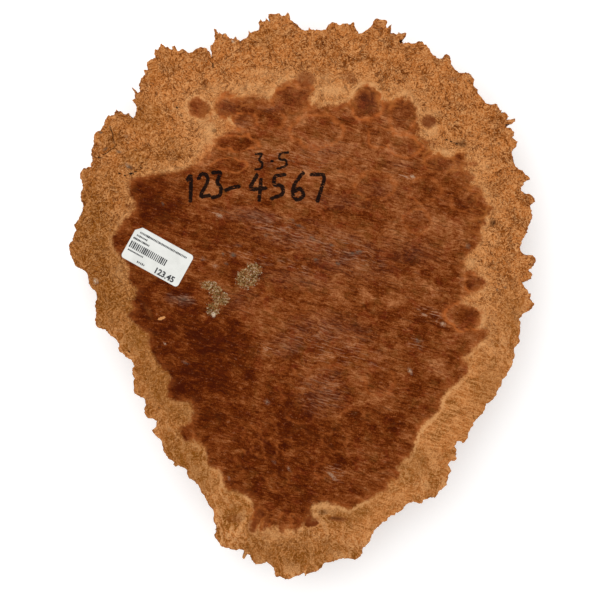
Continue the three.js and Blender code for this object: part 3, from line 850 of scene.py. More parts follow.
@dataclass(frozen=True)
class BurlWood:
    """The block's wood: curly tan sapwood, dark figured heartwood and the natural spiny wall."""

    tan_deep: Colour = srgb(126, 64, 12)
    tan: Colour = srgb(180, 106, 48)
    tan_pale: Colour = srgb(214, 148, 90)
    tan_shade: Colour = srgb(120, 68, 8)
    cream: Colour = srgb(218, 160, 104)
    stroke: Colour = srgb(82, 32, 0)
    heart_stops: tuple[tuple[float, Colour], ...] = (
        (0.34, srgb(62, 15, 0)), (0.43, srgb(90, 33, 0)), (0.5, srgb(120, 58, 18)),
        (0.57, srgb(144, 82, 42)), (0.66, srgb(178, 114, 70)),
    )
    orange: Colour = srgb(182, 98, 44)
    haze: Colour = srgb(134, 90, 66)
    scratch: Colour = srgb(176, 138, 112)
    groove: Colour = srgb(62, 22, 2)
    rust: Colour = srgb(130, 48, 24)
    olive: Colour = srgb(104, 64, 22)
    eye: Colour = srgb(112, 52, 20)
    ink: Colour = srgb(10, 6, 6)
    grey_blue: Colour = srgb(86, 84, 72)
    # A pale colour for the dots and drops, also used for painted glints.
    chalk_and_glint: Colour = srgb(200, 178, 152)
    scab: Colour = srgb(148, 122, 76)
    scab_deep: Colour = srgb(66, 46, 14)
    # Painted shade in the pits.
    pit_shade: Colour = srgb(52, 26, 10)
    # wall_deep is the painted shade of the wall's hollows and the colour of its dark fibres; wall_tip is
    # the painted light on its tips and the colour of its pale fibres.
    wall_deep: Colour = srgb(78, 40, 14)
    wall: Colour = srgb(142, 86, 40)
    wall_tip: Colour = srgb(186, 126, 72)
    sizes: WoodSizes = WoodSizes()
    roughness: float = 0.6
    gloss: float = 0.025
    sap_level: float = 0.24
    relief: float = 0.6
    relief_depth: float = 0.35 * MM

    def sapwood(self, bench: Bench, place: Wire, depth: Wire) -> tuple[Wire, Wire]:
        """Colours the sapwood with broken lines that curl round its small knots.

        Args:
            bench: the tree's bench.
            place: the place on the block.
            depth: how deep in the heartwood, below zero in the sapwood.

        Returns:
            Its colour and its relief.
        """
        sizes = self.sizes
        curly = bench.amount("curly")
        warp = bench.noise(place, sizes.warp, 2, output="Color")
        bent = bench.shifted(place, warp, sizes.warp_reach)
        curls = bench.noise(bent, sizes.curl, 2, 0.55, 1.6)
        weave = bench.noise(bent, sizes.weave, 1, 0.5, 1.8)
        threads = abs(weave - 0.5).rise(0.045, 0.005)
        crests = abs(weave - 0.575).rise(0.05, 0.01)
        breaks = bench.noise(place, sizes.break_up, 2, 0.6)
        clumps = bench.noise(place, sizes.clump, 3, 0.65)
        grit = bench.noise(place, sizes.sap_grit, 2, 0.7)
        plain = 1 - curly
        swept = bench.amount("swept")
        sawn = bench.shifted(place, warp, sizes.sap_saw_reach)
        fibres = bench.noise(bench.turned(sawn, 16, (9, 1)), sizes.fibre, 4, 0.7)
        patches = bench.noise(bent, sizes.patch, 3, 0.6)
        fingers = bench.noise(bench.turned(bent, 78, (2.6, 1)), sizes.finger, 2, 0.55, 0.8)
        combed = plain * (1 - swept)
        low = bench.mix(plain * 0.55, self.tan_deep, self.tan)
        base = bench.mix(clumps.rise(0.28, 0.58), low, self.tan)
        shade = bench.amount("shade").clamped()
        lit = 1 - 0.35 * shade
        spread = 0.35 + 0.65 * clumps.rise(0.6, 0.42)
        base = bench.layered(
            base,
            (patches.rise(0.5, 0.62) * plain * 0.6, self.tan_pale),
            (patches.rise(0.5, 0.4) * plain * 0.65, self.tan_shade),
            (depth.rise(-20, -2) * 0.4 * curly, self.tan_pale),
            (fingers.rise(0.5, 0.58) * combed * 0.85, self.cream),
            (fingers.rise(0.49, 0.42) * combed * 0.9, self.tan_shade),
            (fibres.rise(0.49, 0.62) * swept * 0.75, self.tan_pale),
            (fibres.rise(0.48, 0.34) * swept * 0.6, self.tan_shade),
            (shade * 0.8, self.tan_shade),
            (curls.rise(0.5, 0.62) * (0.35 + 0.3 * curly) * lit, self.tan_pale),
            (breaks.rise(0.42, 0.5) * (0.0085 + 0.0226 * curly), self.cream),
            (curls.rise(0.46, 0.36) * (0.05 + 0.7 * curly), self.stroke),
            (threads * spread * (0.04 + 0.7 * curly), self.stroke),
            (crests * breaks.rise(0.42, 0.55) * 0.5 * curly * lit, self.cream),
            (grit.rise(0.54, 0.66) * 0.45 * lit, self.cream),
            (grit.rise(0.46, 0.36) * (0.5 + 0.1 * curly), self.tan_deep),
        )
        return base, self.sap_level + 1.2 * curls - threads + 0.3 * grit

    def heartwood(self, bench: Bench, place: Wire) -> tuple[Wire, Wire]:
        """Colours the heartwood by one mottled tone, moved by the painted glow, shade and haze.

        Args:
            bench: the tree's bench.
            place: the place on the block.

        Returns:
            Its colour and its relief.
        """
        sizes = self.sizes
        warp = bench.noise(place, sizes.warp, 2, output="Color")
        bent = bench.shifted(place, warp, sizes.warp_reach)
        sawn = bench.shifted(place, warp, sizes.heart_saw_reach)
        clouds = bench.noise(bent, sizes.cloud, 3, 0.6)
        mottle = bench.noise(bench.turned(sawn, 12, (1.7, 1)), sizes.mottle, 4, 0.7, 0.5)
        fine = bench.noise(bench.turned(sawn, 15, (2.2, 1)), sizes.fine, 3, 0.7, 0.3)
        grit = bench.noise(place, sizes.heart_grit, 2, 0.7)
        streaks = bench.noise(bench.turned(sawn, 14, (9, 1)), sizes.streak, 2, 0.65)
        cells = bench.voronoi(bent, sizes.cell, "DISTANCE_TO_EDGE", "Distance")
        haze = bench.amount("haze")
        shade = bench.amount("shade")
        rims = (cells.rise(0.1, 0.0) - cells.rise(0.1, 0.3)) * bench.amount("celled")
        knot = bench.amount("knot")
        grain = 0.23 * clouds + 0.32 * mottle + 0.22 * fine + (0.17 + 0.17 * haze) * (streaks - 0.5)
        tone = (grain - 0.385) * (1.3 - 0.2 * shade - 0.4 * knot) + 0.5
        tone = tone + 0.05 * rims * mottle.rise(0.4, 0.6) + 0.26 * (grit - 0.5) - 0.035 * knot
        tone = tone + 0.05 * bench.amount("vein") + 0.11 * bench.amount("glow") - 0.11 * shade
        base = bench.node("ShaderNodeValToRGB", {"stops": self.heart_stops}, {"Fac": tone}, "Color")
        tint = bench.noise(bent, sizes.tint, 3, 0.6)
        lit = 1 - shade
        scratch = bench.amount("scratch") * streaks.rise(0.54, 0.64)
        grooves = bench.noise(bench.turned(sawn, 17, (18, 1)), sizes.groove, 3, 0.6)
        worn = haze * (0.15 + 0.5 * fine.rise(0.42, 0.6) + 0.6 * streaks.rise(0.46, 0.6))
        base = bench.layered(
            base,
            (knot * bench.amount("knotty") * 0.12, self.haze),
            (tint.rise(0.54, 0.66) * lit * 0.25, self.rust),
            (tint.rise(0.46, 0.34) * lit * 0.3, self.olive),
            ((scratch * 0.55).clamped(), self.scratch),
            (grooves.rise(0.45, 0.37) * (0.4 + 0.6 * haze).clamped(), self.groove),
            ((worn * 0.7).clamped(), self.haze),
            (fine.rise(0.58, 0.68) * grit.rise(0.45, 0.6) * 0.5, self.haze),
        )
        return base, 0.7 * streaks + 0.5 * fine

    def edge_between(self, bench: Bench, place: Wire) -> tuple[Wire, Wire]:
        """Finds the heartwood's edge, which steps round the small knots near the block's upper rim.

        Args:
            bench: the tree's bench.
            place: the place on the block.

        Returns:
            How deep in the heartwood the place is, and the pale lines between the knots.
        """
        sizes = self.sizes
        warp = bench.noise(place, sizes.knot_warp, 2, output="Color")
        bent = bench.shifted(place, warp, sizes.knot_warp_reach)
        tints = bench.voronoi(bent, sizes.knot, "F1", "Color")
        tint = bench.node("ShaderNodeSeparateColor", {}, {0: tints}, 0)
        edges = bench.voronoi(bent, sizes.knot, "DISTANCE_TO_EDGE", "Distance")
        knotty = bench.amount("knotty")
        ragged = (bench.noise(place, sizes.ragged, 3, 0.6) - 0.5) * 6
        ragged = ragged + (bench.noise(place, sizes.ragged_fine, 2) - 0.5) * 4
        depth = bench.amount("heart") + ragged + (tint - 0.5) * knotty * 9
        near = depth.rise(20, 4) * depth.rise(-12, -4)
        return depth, edges.rise(0.13, 0.02) * near * knotty * (1 - bench.amount("knot"))

    def marks(self, bench: Bench, place: Wire, base: Wire) -> Wire:
        """Lays the pits and cracks with painted shade in them, the scabs and dust with some painted glints,
        and the marker ink over the sawn wood.

        Args:
            bench: the tree's bench.
            place: the place on the block.
            base: the wood's colour.

        Returns:
            The marked colour.
        """
        speck = bench.noise(place, self.sizes.speck, 3, 0.7)
        crumb = bench.noise(place, self.sizes.crumb, 2, 0.7)
        scab = bench.amount("scab")
        scab = (scab + 2.2 * (speck - 0.5)).rise(0.25, 0.6) * scab.rise(0.01, 0.15)
        base = bench.layered(
            base,
            (bench.amount("swirl") * speck.rise(0.4, 0.6) * 0.6, self.stroke),
            (bench.amount("grey_blue") * speck.rise(0.3, 0.55) * 0.8, self.grey_blue),
            (scab * crumb.rise(0.45, 0.56) * 0.8, self.scab),
            (scab * speck.rise(0.5, 0.4) * 0.8, self.scab_deep),
            # Painted glints on the scabs' pale specks.
            (scab * speck.rise(0.57, 0.66) * 0.7, self.chalk_and_glint),
            # Painted shade in the pits.
            ((bench.amount("pit_shade") * (0.4 + speck)).clamped(), self.pit_shade),
            # Painted shade in the cracks, in the ink's near black.
            (bench.amount("crack_shade").rise(0.3, 0.8) * speck.rise(0.3, 0.45), self.ink),
            (bench.amount("sliver").rise(0.3, 0.8) * 0.85, self.tan_pale),
            # Pale dots and drops, and painted glints.
            ((bench.amount("chalk_and_glint") * crumb.rise(0.35, 0.6) * 0.7).clamped(), self.chalk_and_glint),
        )
        ragged = bench.amount("ink") + (speck - 0.5) * 2.6
        gaps = bench.noise(bench.turned(place, 13, (4, 1)), self.sizes.ink_gap, 3, 0.7).rise(0.32, 0.42)
        return bench.mix(ragged.rise(0.4, -0.35) * gaps * 0.96, base, self.ink)

    def bark_side(self, bench: Bench, place: Wire) -> tuple[Wire, Wire]:
        """Colours the natural wall, with painted shade in its hollows and painted light on its tips.

        Args:
            bench: the tree's bench.
            place: the place on the block.

        Returns:
            Its colour and its relief.
        """
        fibres = bench.noise(place, self.sizes.bark_fibre, 4, 0.65, 1.0)
        patches = bench.noise(place, self.sizes.bark_patch, 3)
        # How far the wall stands out paints shade into its hollows and light onto its tips.
        rise = bench.amount("rise")
        base = bench.layered(
            bench.mix(rise.rise(0.05, 0.6), self.wall_deep, self.wall),
            (rise.rise(0.5, 1.0) * 0.8, self.wall_tip),
            (patches.rise(0.5, 0.7) * 0.35, self.tan_deep),
            (fibres.rise(0.48, 0.34) * 0.6, self.wall_deep),
            (fibres.rise(0.54, 0.68) * 0.5, self.wall_tip),
        )
        return base, fibres

    def make(self) -> bpy.types.Material:
        """Builds the wood's material.

        Returns:
            The material.
        """
        material, bench, shader = new_material("burl_wood")
        place = bench.object_place()
        depth, knot_lines = self.edge_between(bench, place)
        sap, sap_relief = self.sapwood(bench, place, depth)
        heart, heart_relief = self.heartwood(bench, place)
        worked = 0.8 * bench.noise(place, self.sizes.worked, 3).rise(0.35, 0.6)
        cream = bench.amount("cream") * (0.5 + worked)
        rim_line = abs(depth + 2.2).rise(2.6, 0.5) * bench.amount("rimmed") * (0.6 + worked)
        glow = bench.amount("glow")
        sap = bench.layered(sap, ((cream | (0.8 * rim_line)).clamped() * 0.6, self.cream),
                            (glow * depth.rise(-12, -1) * 0.6, self.orange))
        in_heart = depth.rise(-2.4, 2.4)
        edge_glow = bench.amount("knotty") | (0.6 * bench.amount("rimmed")) | (1.2 * glow) | 0.4
        warm = edge_glow * depth.rise(10, -1) * bench.noise(place, self.sizes.warm, 3).rise(0.36, 0.6)
        heart = bench.mix(warm * 0.6, heart, self.orange)
        halo = bench.mix(in_heart, self.cream, self.orange)
        patchy = 0.3 + bench.noise(place, self.sizes.halo, 2).rise(0.35, 0.6)
        eye = bench.amount("eye") * (0.6 + 0.6 * bench.noise(place, self.sizes.eye, 3))
        cut = bench.layered(
            bench.mix(in_heart, sap, heart),
            (knot_lines.clamped() * 0.5, self.tan),
            ((bench.amount("halo") * patchy * 0.7).clamped(), halo),
            (cream.clamped() * in_heart * 0.5, self.tan),
            (eye.clamped(), self.eye),
        )
        cut = self.marks(bench, place, cut)
        wall, wall_relief = self.bark_side(bench, place)
        side = bench.amount("side")
        face_relief = sap_relief * (1 - in_heart) + heart_relief * in_heart
        relief = face_relief * (1 - side) + wall_relief * side * 2
        bench.feed(shader, {
            "Base Color": bench.mix(side, cut, wall),
            "Normal": bench.bump(relief, self.relief, self.relief_depth),
            "Roughness": self.roughness + 0.12 * side - 0.1 * in_heart,
            "Specular IOR Level": self.gloss,
        })
        return material


@dataclass(frozen=True)
class LabelPaper:
    """White sticker paper with a faint tooth."""

    white: Colour = srgb(226, 226, 220)
    grey: Colour = srgb(204, 204, 198)
    cloud_size: float = 14 * MM
    tooth_size: float = 0.6 * MM
    relief: float = 0.15
    relief_depth: float = 0.05 * MM
    roughness: float = 0.5

    def make(self) -> bpy.types.Material:
        """Builds the paper's material.

        Returns:
            The material.
        """
        material, bench, shader = new_material("label_paper")
        place = bench.object_place()
        cloud = bench.noise(place, self.cloud_size, 3)
        tooth = bench.noise(place, self.tooth_size, 2)
        bench.feed(shader, {
            "Base Color": bench.mix(cloud.rise(0.35, 0.75) * 0.6, self.white, self.grey),
            "Normal": bench.bump(tooth, self.relief, self.relief_depth),
            "Roughness": self.roughness,
        })
        return material


@dataclass(frozen=True)
class PrintInk:
    """The sticker's black print, a little uneven as a heat printer leaves it."""

    black: Colour = srgb(34, 34, 36)
    worn: Colour = srgb(96, 96, 98)
    worn_size: float = 0.7 * MM
    roughness: float = 0.55

    def make(self) -> bpy.types.Material:
        """Builds the print's material.

        Returns:
            The material.
        """
        material, bench, shader = new_material("print_ink")
        place = bench.object_place()
        worn = bench.noise(place, self.worn_size, 2).rise(0.5, 0.75)
        colour = bench.mix(worn * 0.7, self.black, self.worn)
        bench.feed(shader, {"Base Color": colour, "Roughness": self.roughness})
        return material


@dataclass(frozen=True)
class StudioFloor:
    """The plain pale floor, lit a little from below as a light table is."""

    pale: Colour = srgb(248, 248, 247)
    glow: float = 0.28
    roughness: float = 0.9
    gloss: float = 0.1

    def make(self) -> bpy.types.Material:
        """Builds the floor's material.

        Returns:
            The material.
        """
        material, bench, shader = new_material("studio_floor")
        bench.feed(shader, {
            "Base Color": self.pale, "Roughness": self.roughness, "Specular IOR Level": self.gloss,
            "Emission Color": WHITE, "Emission Strength": self.glow,
        })
        return material


def linked(name: str, data: bpy.types.ID) -> bpy.types.Object:
    """Makes an object and puts it in the scene.

    Args:
        name: its name.
        data: its mesh, lamp, camera or text.

    Returns:
        The object.
    """
    made = bpy.data.objects.new(name, data)
    bpy.context.scene.collection.objects.link(made)
    return made


def mesh_points(mesh: bpy.types.Mesh) -> np.ndarray:
    """Reads a mesh's points.

    Args:
        mesh: the mesh.

    Returns:
        The points, one a row.
    """
    flat = np.empty(len(mesh.vertices) * 3)
    mesh.vertices.foreach_get("co", flat)
    return flat.reshape(-1, 3)


def place_tree(places: np.ndarray) -> KDTree:
    """Makes a tree that finds the nearest of some flat places.

    Args:
        places: the places, one a row.

    Returns:
        The tree, which knows each place by its row.
    """
    tree = KDTree(len(places))
    for number, place in enumerate(places):
        tree.insert((*place, 0), number)
    tree.balance()
    return tree


def new_object(name: str, points: np.ndarray, faces: Sequence[Sequence[int]],
               material: bpy.types.Material | None) -> bpy.types.Object:
    """Makes a mesh object at the origin.

    Args:
        name: the piece's name.
        points: its points in metres.
        faces: its faces, seen from outside anticlockwise.
        material: its finish, if it has one yet.

    Returns:
        The object, linked to the scene.
    """
    mesh = bpy.data.meshes.new(name)
    mesh.from_pydata(points.tolist(), [], faces)
    if material is not None:
        mesh.materials.append(material)
    mesh.validate()
    return linked(name, mesh)


def fill_outline(outline: np.ndarray, step: float, close: Callable[[np.ndarray], np.ndarray] | None = None,
                 margin: float = 0.6) -> tuple[np.ndarray, list[tuple[int, ...]]]:
    """Fills a closed outline with a fine even mesh of triangles.

    Args:
        outline: its points, anticlockwise, in metres.
        step: the spacing of the points inside.
        close: says where the spacing is halved, if anywhere.
        margin: the least room between the outline and the points inside, in steps.

    Returns:
        The points, with the outline's first and in their order, and the triangles.
    """
    low, high = outline.min(0), outline.max(0)

    def lattice(pitch: float) -> np.ndarray:
        """Lays an even lattice over the outline's box."""
        x, y = np.meshgrid(np.arange(low[0], high[0], pitch), np.arange(low[1], high[1], pitch))
        return np.stack([x.ravel(), y.ravel()], 1)

    grid = lattice(step)
    if close is not None:
        fine = lattice(step / 2)
        grid = np.concatenate([grid[~close(grid)], fine[close(fine)]])
    grid = grid[inside(grid, outline)]
    rim_tree = place_tree(outline)
    grid = grid[[rim_tree.find((*place, 0))[2] > margin * step for place in grid]]
    count = len(outline)
    points = [Vector(place) for place in np.concatenate([outline, grid])]
    rim = [(i, (i + 1) % count) for i in range(count)]
    made = delaunay_2d_cdt(points, rim, [], FILL_INSIDE, CLOSEST)
    return np.array([tuple(p) for p in made[0]]), [tuple(face) for face in made[2]]


def packed_rings(node: str) -> np.ndarray:
    """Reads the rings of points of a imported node's wall, from the top level down.

    Args:
        node: the node's name.

    Returns:
        An array of levels, points round each level and their three coordinates, anticlockwise from above,
        with each point above the one of the same number on the level below.
    """
    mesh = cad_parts[node].data
    loose = mesh_points(mesh)
    welded = np.round(loose / WELD).astype(int)
    _, first, merged = np.unique(welded, axis=0, return_index=True, return_inverse=True)
    points = loose[first]
    corners = np.empty(len(mesh.polygons) * 3, int)
    mesh.polygons.foreach_get("vertices", corners)
    faces = merged.ravel()[corners].reshape(-1, 3)
    level = np.round(points[:, 2] / LEVEL).astype(int)
    sloped = faces[np.ptp(level[faces], axis=1) > 0]
    pairs = np.concatenate([sloped[:, [0, 1]], sloped[:, [1, 2]], sloped[:, [2, 0]]])
    pairs = np.unique(np.sort(pairs[level[pairs[:, 0]] == level[pairs[:, 1]]], 1), axis=0)
    beside: dict[int, list[int]] = {}
    for one, other in pairs.tolist():
        beside.setdefault(one, []).append(other)
        beside.setdefault(other, []).append(one)
    rings: list[np.ndarray] = []
    for height in sorted(set(level.tolist()), reverse=True):
        start = next(i for i in beside if level[i] == height)
        walk = [start, beside[start][0]]
        while walk[-1] != start:
            walk.append(next(i for i in beside[walk[-1]] if i != walk[-2]))
        ring = points[walk[:-1]]
        following = np.roll(ring, -1, 0)
        if (ring[:, 0] * following[:, 1] - following[:, 0] * ring[:, 1]).sum() < 0:
            ring = ring[::-1]
        if rings:
            above = rings[-1][:, :2]
            misfit = [((np.roll(ring[:, :2], turn, 0) - above) ** 2).sum() for turn in range(len(ring))]
            ring = np.roll(ring, int(np.argmin(misfit)), 0)
        rings.append(ring)
    return np.array(rings)


def between_rows(rows: np.ndarray, depths: np.ndarray, wanted: np.ndarray) -> np.ndarray:
    """Fits a smooth curve down each column of points and reads it at new depths.

    Args:
        rows: an array of levels, points and coordinates.
        depths: each level's depth.
        wanted: the new depths.

    Returns:
        The same array at the new depths.
    """
    slopes = np.gradient(rows, depths, axis=0)
    upper = np.clip(np.searchsorted(depths, wanted, side="right") - 1, 0, len(depths) - 2)
    gap = (depths[upper + 1] - depths[upper])[:, None, None]
    share = (wanted - depths[upper])[:, None, None] / gap
    start = (1 + 2 * share) * (1 - share) ** 2 * rows[upper]
    start += share * (1 - share) ** 2 * gap * slopes[upper]
    end = share ** 2 * (3 - 2 * share) * rows[upper + 1]
    return start + end + share ** 2 * (share - 1) * gap * slopes[upper + 1]


def small_pips(along: np.ndarray, depth: np.ndarray, length: float, spacing: float, seed: int,
               shift: float = 0.4, lowest: float = 0.3, foot: float = 0.62) -> np.ndarray:
    """Raises small pointed pips all over the unrolled wall.

    Args:
        along: each place's distance round the wall.
        depth: its depth below the face.
        length: the whole way round.
        spacing: from one pip to the next.
        seed: picks their places and heights.
        shift: how far a pip may stand off its place in the row, in spacings.
        lowest: the lowest pip's height, as a share of the tallest one's.
        foot: the radius of a pip's foot, in spacings.

    Returns:
        From 0 between the pips to 1 on the tallest tips.
    """
    dice = np.random.default_rng(seed)
    columns, rows = round(length / spacing), round(depth.max() / spacing) + 2
    column, row = np.meshgrid(np.arange(columns), np.arange(rows))
    shake = dice.uniform(-shift, shift, (2, rows, columns))
    u = ((column + 0.5 * (row % 2) + shake[0]) * length / columns).ravel()
    v = ((row - 0.5 + shake[1]) * spacing).ravel()
    tall = dice.uniform(lowest, 1, len(u))
    tree = place_tree(np.column_stack([u, v]))
    rise = np.zeros(len(along))
    for i, place in enumerate(zip(along, depth)):
        _, number, apart = tree.find((*place, 0))
        rise[i] = tall[number] * max(0.0, 1 - apart / (foot * spacing))
    return rise


@dataclass
class BurlBlock:
    """The block itself: its sawn front and back faces and the spiny wall between them."""

    figure: Figure
    wood: bpy.types.Material
    edge_step: float = 1.4 * MM
    edge_shake: float = 0.55 * MM
    face_step: float = 1.77 * MM
    back_step: float = 4.5 * MM
    wall_rows: int = 25
    pip_spacing: float = 5.2 * MM
    pip_height: float = 2.4 * MM
    grain_height: float = 0.5 * MM
    pit_depth: float = 0.9 * MM
    crack_half: float = 1.6
    rim_depths: tuple[float, ...] = (0.0, 0.7 * MM, 1.6 * MM, 2.8 * MM)
    rows_from: float = 5 * MM
    smooth_reach: int = 9
    stand_height: float = 3.5 * MM
    stand_middle: float = 0.35
    back_inset: float = 9.0
    back_swing: float = 4.0
    back_swing_length: float = 60 * MM
    no_ink: float = 50.0

    def refined_rings(self) -> tuple[np.ndarray, np.ndarray]:
        """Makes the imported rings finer, round the block and down its wall.

        Returns:
            The finer rings and the depths of their rows.
        """
        coarse = packed_rings(BLOCK)
        dice = np.random.default_rng(SEED)
        top = coarse[0]
        lengths = np.linalg.norm(np.roll(top, -1, 0) - top, axis=1)
        pieces = np.maximum(1, np.round(lengths / self.edge_step)).astype(int)
        start = np.repeat(np.arange(len(top)), pieces)
        share = np.concatenate([np.arange(n) / n for n in pieces])
        after = (start + 1) % len(top)
        fine = coarse[:, start] * (1 - share[:, None]) + coarse[:, after] * share[:, None]
        out = np.stack([top[after, 1] - top[start, 1], top[start, 0] - top[after, 0]], 1)
        out /= np.linalg.norm(out, axis=1, keepdims=True)
        shake = dice.uniform(-1, 1, len(start)) * np.where(share > 0, self.edge_shake, 0)
        fine[:, :, :2] += out * shake[:, None]
        depths = top[0, 2] - coarse[:, 0, 2]
        rows_left = self.wall_rows - len(self.rim_depths)
        wanted = np.concatenate([self.rim_depths, np.linspace(self.rows_from, depths[-1], rows_left)])
        return between_rows(fine, depths, wanted), wanted

    def roughen(self, rings: np.ndarray, depths: np.ndarray) -> tuple[np.ndarray, np.ndarray, np.ndarray]:
        """Raises pips and grain on the wall, never past the face's own outline.

        Args:
            rings: the finer rings.
            depths: the depths of their rows.

        Returns:
            The roughened rings, how high each point stands out, from 0 to 1, and how much room each has
            before it would show past the face.
        """
        rows, count = rings.shape[:2]
        middle = rings.mean(0)
        steps = np.linalg.norm(np.roll(middle, -1, 0) - middle, axis=1)
        along = np.concatenate([[0], np.cumsum(steps)[:-1]])
        every_along = np.tile(along, rows)
        every_depth = np.repeat(depths, count)
        pips = small_pips(every_along, every_depth, steps.sum(), self.pip_spacing, SEED + 1)
        flat = rings.reshape(-1, 3)
        grain = wave_field(flat, 5 * MM, SEED + 2) + 0.5 * wave_field(flat, 2.6 * MM, SEED + 3)
        fade = smooth_step(every_depth, 0.2 * MM, 5 * MM)
        fade *= smooth_step(every_depth, depths[-1], depths[-1] - 3 * MM)
        lift = fade * (self.pip_height * pips + self.grain_height * grain)
        radius = np.hypot(flat[:, 0], flat[:, 1])
        reach = np.tile(np.hypot(rings[0, :, 0], rings[0, :, 1]), rows)
        wanted = np.minimum(radius + lift, reach)
        raised = flat.copy()
        raised[:, :2] *= (wanted / radius)[:, None]
        local = radius.reshape(rows, count)
        turns = range(-self.smooth_reach, self.smooth_reach + 1)
        smooth = np.mean([np.roll(local, turn, 1) for turn in turns], 0).ravel()
        stand = np.clip((wanted - smooth) / self.stand_height + self.stand_middle, 0, 1)
        ends = smooth_step(every_depth, 3 * MM, 5 * MM) * smooth_step(flat[:, 2], 6 * MM, 12 * MM)
        room = (reach - wanted) * ends
        return raised.reshape(rows, count, 3), stand, room

    def paint(self, made: bpy.types.Object, count: int, stand: np.ndarray, room: np.ndarray) -> None:
        """Paints the figure and the wall's amounts into the mesh.

        Args:
            made: the block's object.
            count: how many points each ring has.
            stand: how high each point of the wall stands out.
            room: how far a spine may stand out at each point of the wall.
        """
        points = mesh_points(made.data)
        walls = len(stand)
        low = points[:, 2] < MM
        values = self.figure.amounts(self.figure.grid.read(points))
        for name in FRONT_ONLY:
            values[name][low] = 0
        values["ink"][low] = self.no_ink
        swing = wave_field(points[low], self.back_swing_length, SEED + 4)
        values["heart"][low] -= self.back_inset - self.back_swing * swing
        for name in ("side", "rise", "room"):
            values[name] = np.zeros(len(points))
        values["side"][count:walls - count] = 1
        # How far each wall point stands out, which the wood turns into painted shade in the hollows and
        # painted light on the tips.
        values["rise"][:walls] = stand
        values["room"][:walls] = room
        for name, value in values.items():
            painted = made.data.attributes.new(name, "FLOAT", "POINT")
            painted.data.foreach_set("value", value.astype(np.float32))

    def build(self) -> bpy.types.Object:
        """Builds the block as one closed mesh.

        Returns:
            The block's object.
        """
        rings, depths = self.refined_rings()
        rings, stand, room = self.roughen(rings, depths)
        rows, count = rings.shape[:2]
        height = rings[0, 0, 2]

        def near_marks(places: np.ndarray) -> np.ndarray:
            """Says where the face has marks too small for its usual spacing."""
            return most(FINE_PARTS, self.figure.grid.read(places), 0.9) > 0

        top, top_faces = fill_outline(rings[0, :, :2], self.face_step, near_marks)
        back, back_faces = fill_outline(rings[-1, :, :2], self.back_step)
        top_start = rows * count
        back_start = top_start + len(top) - count
        points = np.concatenate([
            rings.reshape(-1, 3),
            np.column_stack([top[count:], np.full(len(top) - count, height)]),
            np.column_stack([back[count:], np.zeros(len(back) - count)]),
        ])
        last = (rows - 1) * count
        faces = [tuple(i if i < count else top_start + i - count for i in face) for face in top_faces]
        faces += [tuple(last + i if i < count else back_start + i - count for i in reversed(face))
                  for face in back_faces]
        for here in range(0, last, count):
            faces += [(here + i, here + count + i, here + count + (i + 1) % count, here + (i + 1) % count)
                      for i in range(count)]
        read = self.figure.grid.read(points)
        sunk = np.maximum(line_amounts(CRACKS, read, self.crack_half), most(PITS, read, 0.2))
        inner = slice(top_start, back_start)
        points[inner, 2] -= self.pit_depth * sunk[inner]
        made = new_object("burl_wood_block", points, faces, self.wood)
        self.paint(made, count, stand, room)
        self.shade(made, count, last)
        return made

    def shade(self, made: bpy.types.Object, count: int, last: int) -> None:
        """Shades the block smooth, with its two sawn rims sharp.

        Args:
            made: the block's object.
            count: how many points each ring has.
            last: the number of the lowest ring's first point.
        """
        mesh = made.data
        mesh.shade_smooth()
        ends = np.empty(len(mesh.edges) * 2, int)
        mesh.edges.foreach_get("vertices", ends)
        ends = ends.reshape(-1, 2)
        front = (ends < count).all(1)
        back = ((ends >= last) & (ends < last + count)).all(1)
        sharp = mesh.attributes.new("sharp_edge", "BOOLEAN", "EDGE")
        sharp.data.foreach_set("value", front | back)


def group_input(tree: bpy.types.NodeTree, name: str, kind: str) -> str:
    """Adds a named input to a tree and gives its identifier."""
    return tree.interface.new_socket(name, in_out="INPUT", socket_type=kind).identifier


@dataclass
class GeometryPlan:
    """A geometry tree that is being built, with its named inputs and their values."""

    name: str
    inputs: dict[str, tuple[str, object]]

    def __post_init__(self) -> None:
        """Makes the empty tree with its inputs and its output."""
        self.tree = bpy.data.node_groups.new(self.name, "GeometryNodeTree")
        self.keys = {name: group_input(self.tree, name, kind) for name, (kind, _) in self.inputs.items()}
        self.tree.interface.new_socket("Geometry", in_out="OUTPUT", socket_type="NodeSocketGeometry")
        self.bench = Bench(self.tree)
        self.source = self.tree.nodes.new("NodeGroupInput")

    def given(self, name: str) -> Wire:
        """Reads one of the tree's inputs."""
        return Wire(self.bench, self.source.outputs[name])

    def chance(self, kind: str, low: Wire | float | tuple, high: Wire | float | tuple,
               seed: Wire | int) -> Wire:
        """Adds a random value.

        Args:
            kind: FLOAT or FLOAT_VECTOR.
            low: the least value.
            high: the greatest value.
            seed: picks the values.

        Returns:
            The random value.
        """
        first, output = (2, 1) if kind == "FLOAT" else (0, 0)
        sockets = {first: low, first + 1: high, "Seed": seed}
        return self.bench.node("FunctionNodeRandomValue", {"data_type": kind}, sockets, output)

    def finish(self, instances: Wire, material: str) -> None:
        """Makes the instances real, sets their material and leads them out.

        Args:
            instances: the instances.
            material: the name of the input that holds their material.
        """
        real = self.bench.node("GeometryNodeRealizeInstances", {}, {"Geometry": instances})
        sockets = {"Geometry": real, "Material": self.given(material)}
        dressed = self.bench.node("GeometryNodeSetMaterial", {}, sockets)
        output = self.tree.nodes.new("NodeGroupOutput")
        self.tree.links.new(dressed.socket, output.inputs[0])

    def run(self, made: bpy.types.Object, **values: object) -> bpy.types.Object:
        """Runs the tree on an object and keeps the result as its plain mesh.

        Args:
            made: the object that the tree starts from.
            values: inputs that differ from the plan's own, by name with _ for a space.

        Returns:
            The same object.
        """
        modifier = made.modifiers.new(self.name, "NODES")
        modifier.node_group = self.tree
        for name, (_, value) in self.inputs.items():
            value = values.get(name.replace(" ", "_"), value)
            if value is not None:
                modifier[self.keys[name]] = value
        shaped = made.evaluated_get(bpy.context.evaluated_depsgraph_get())
        mesh = bpy.data.meshes.new_from_object(shaped)
        made.modifiers.remove(modifier)
        made.data = mesh
        mesh.name = made.name
        return made


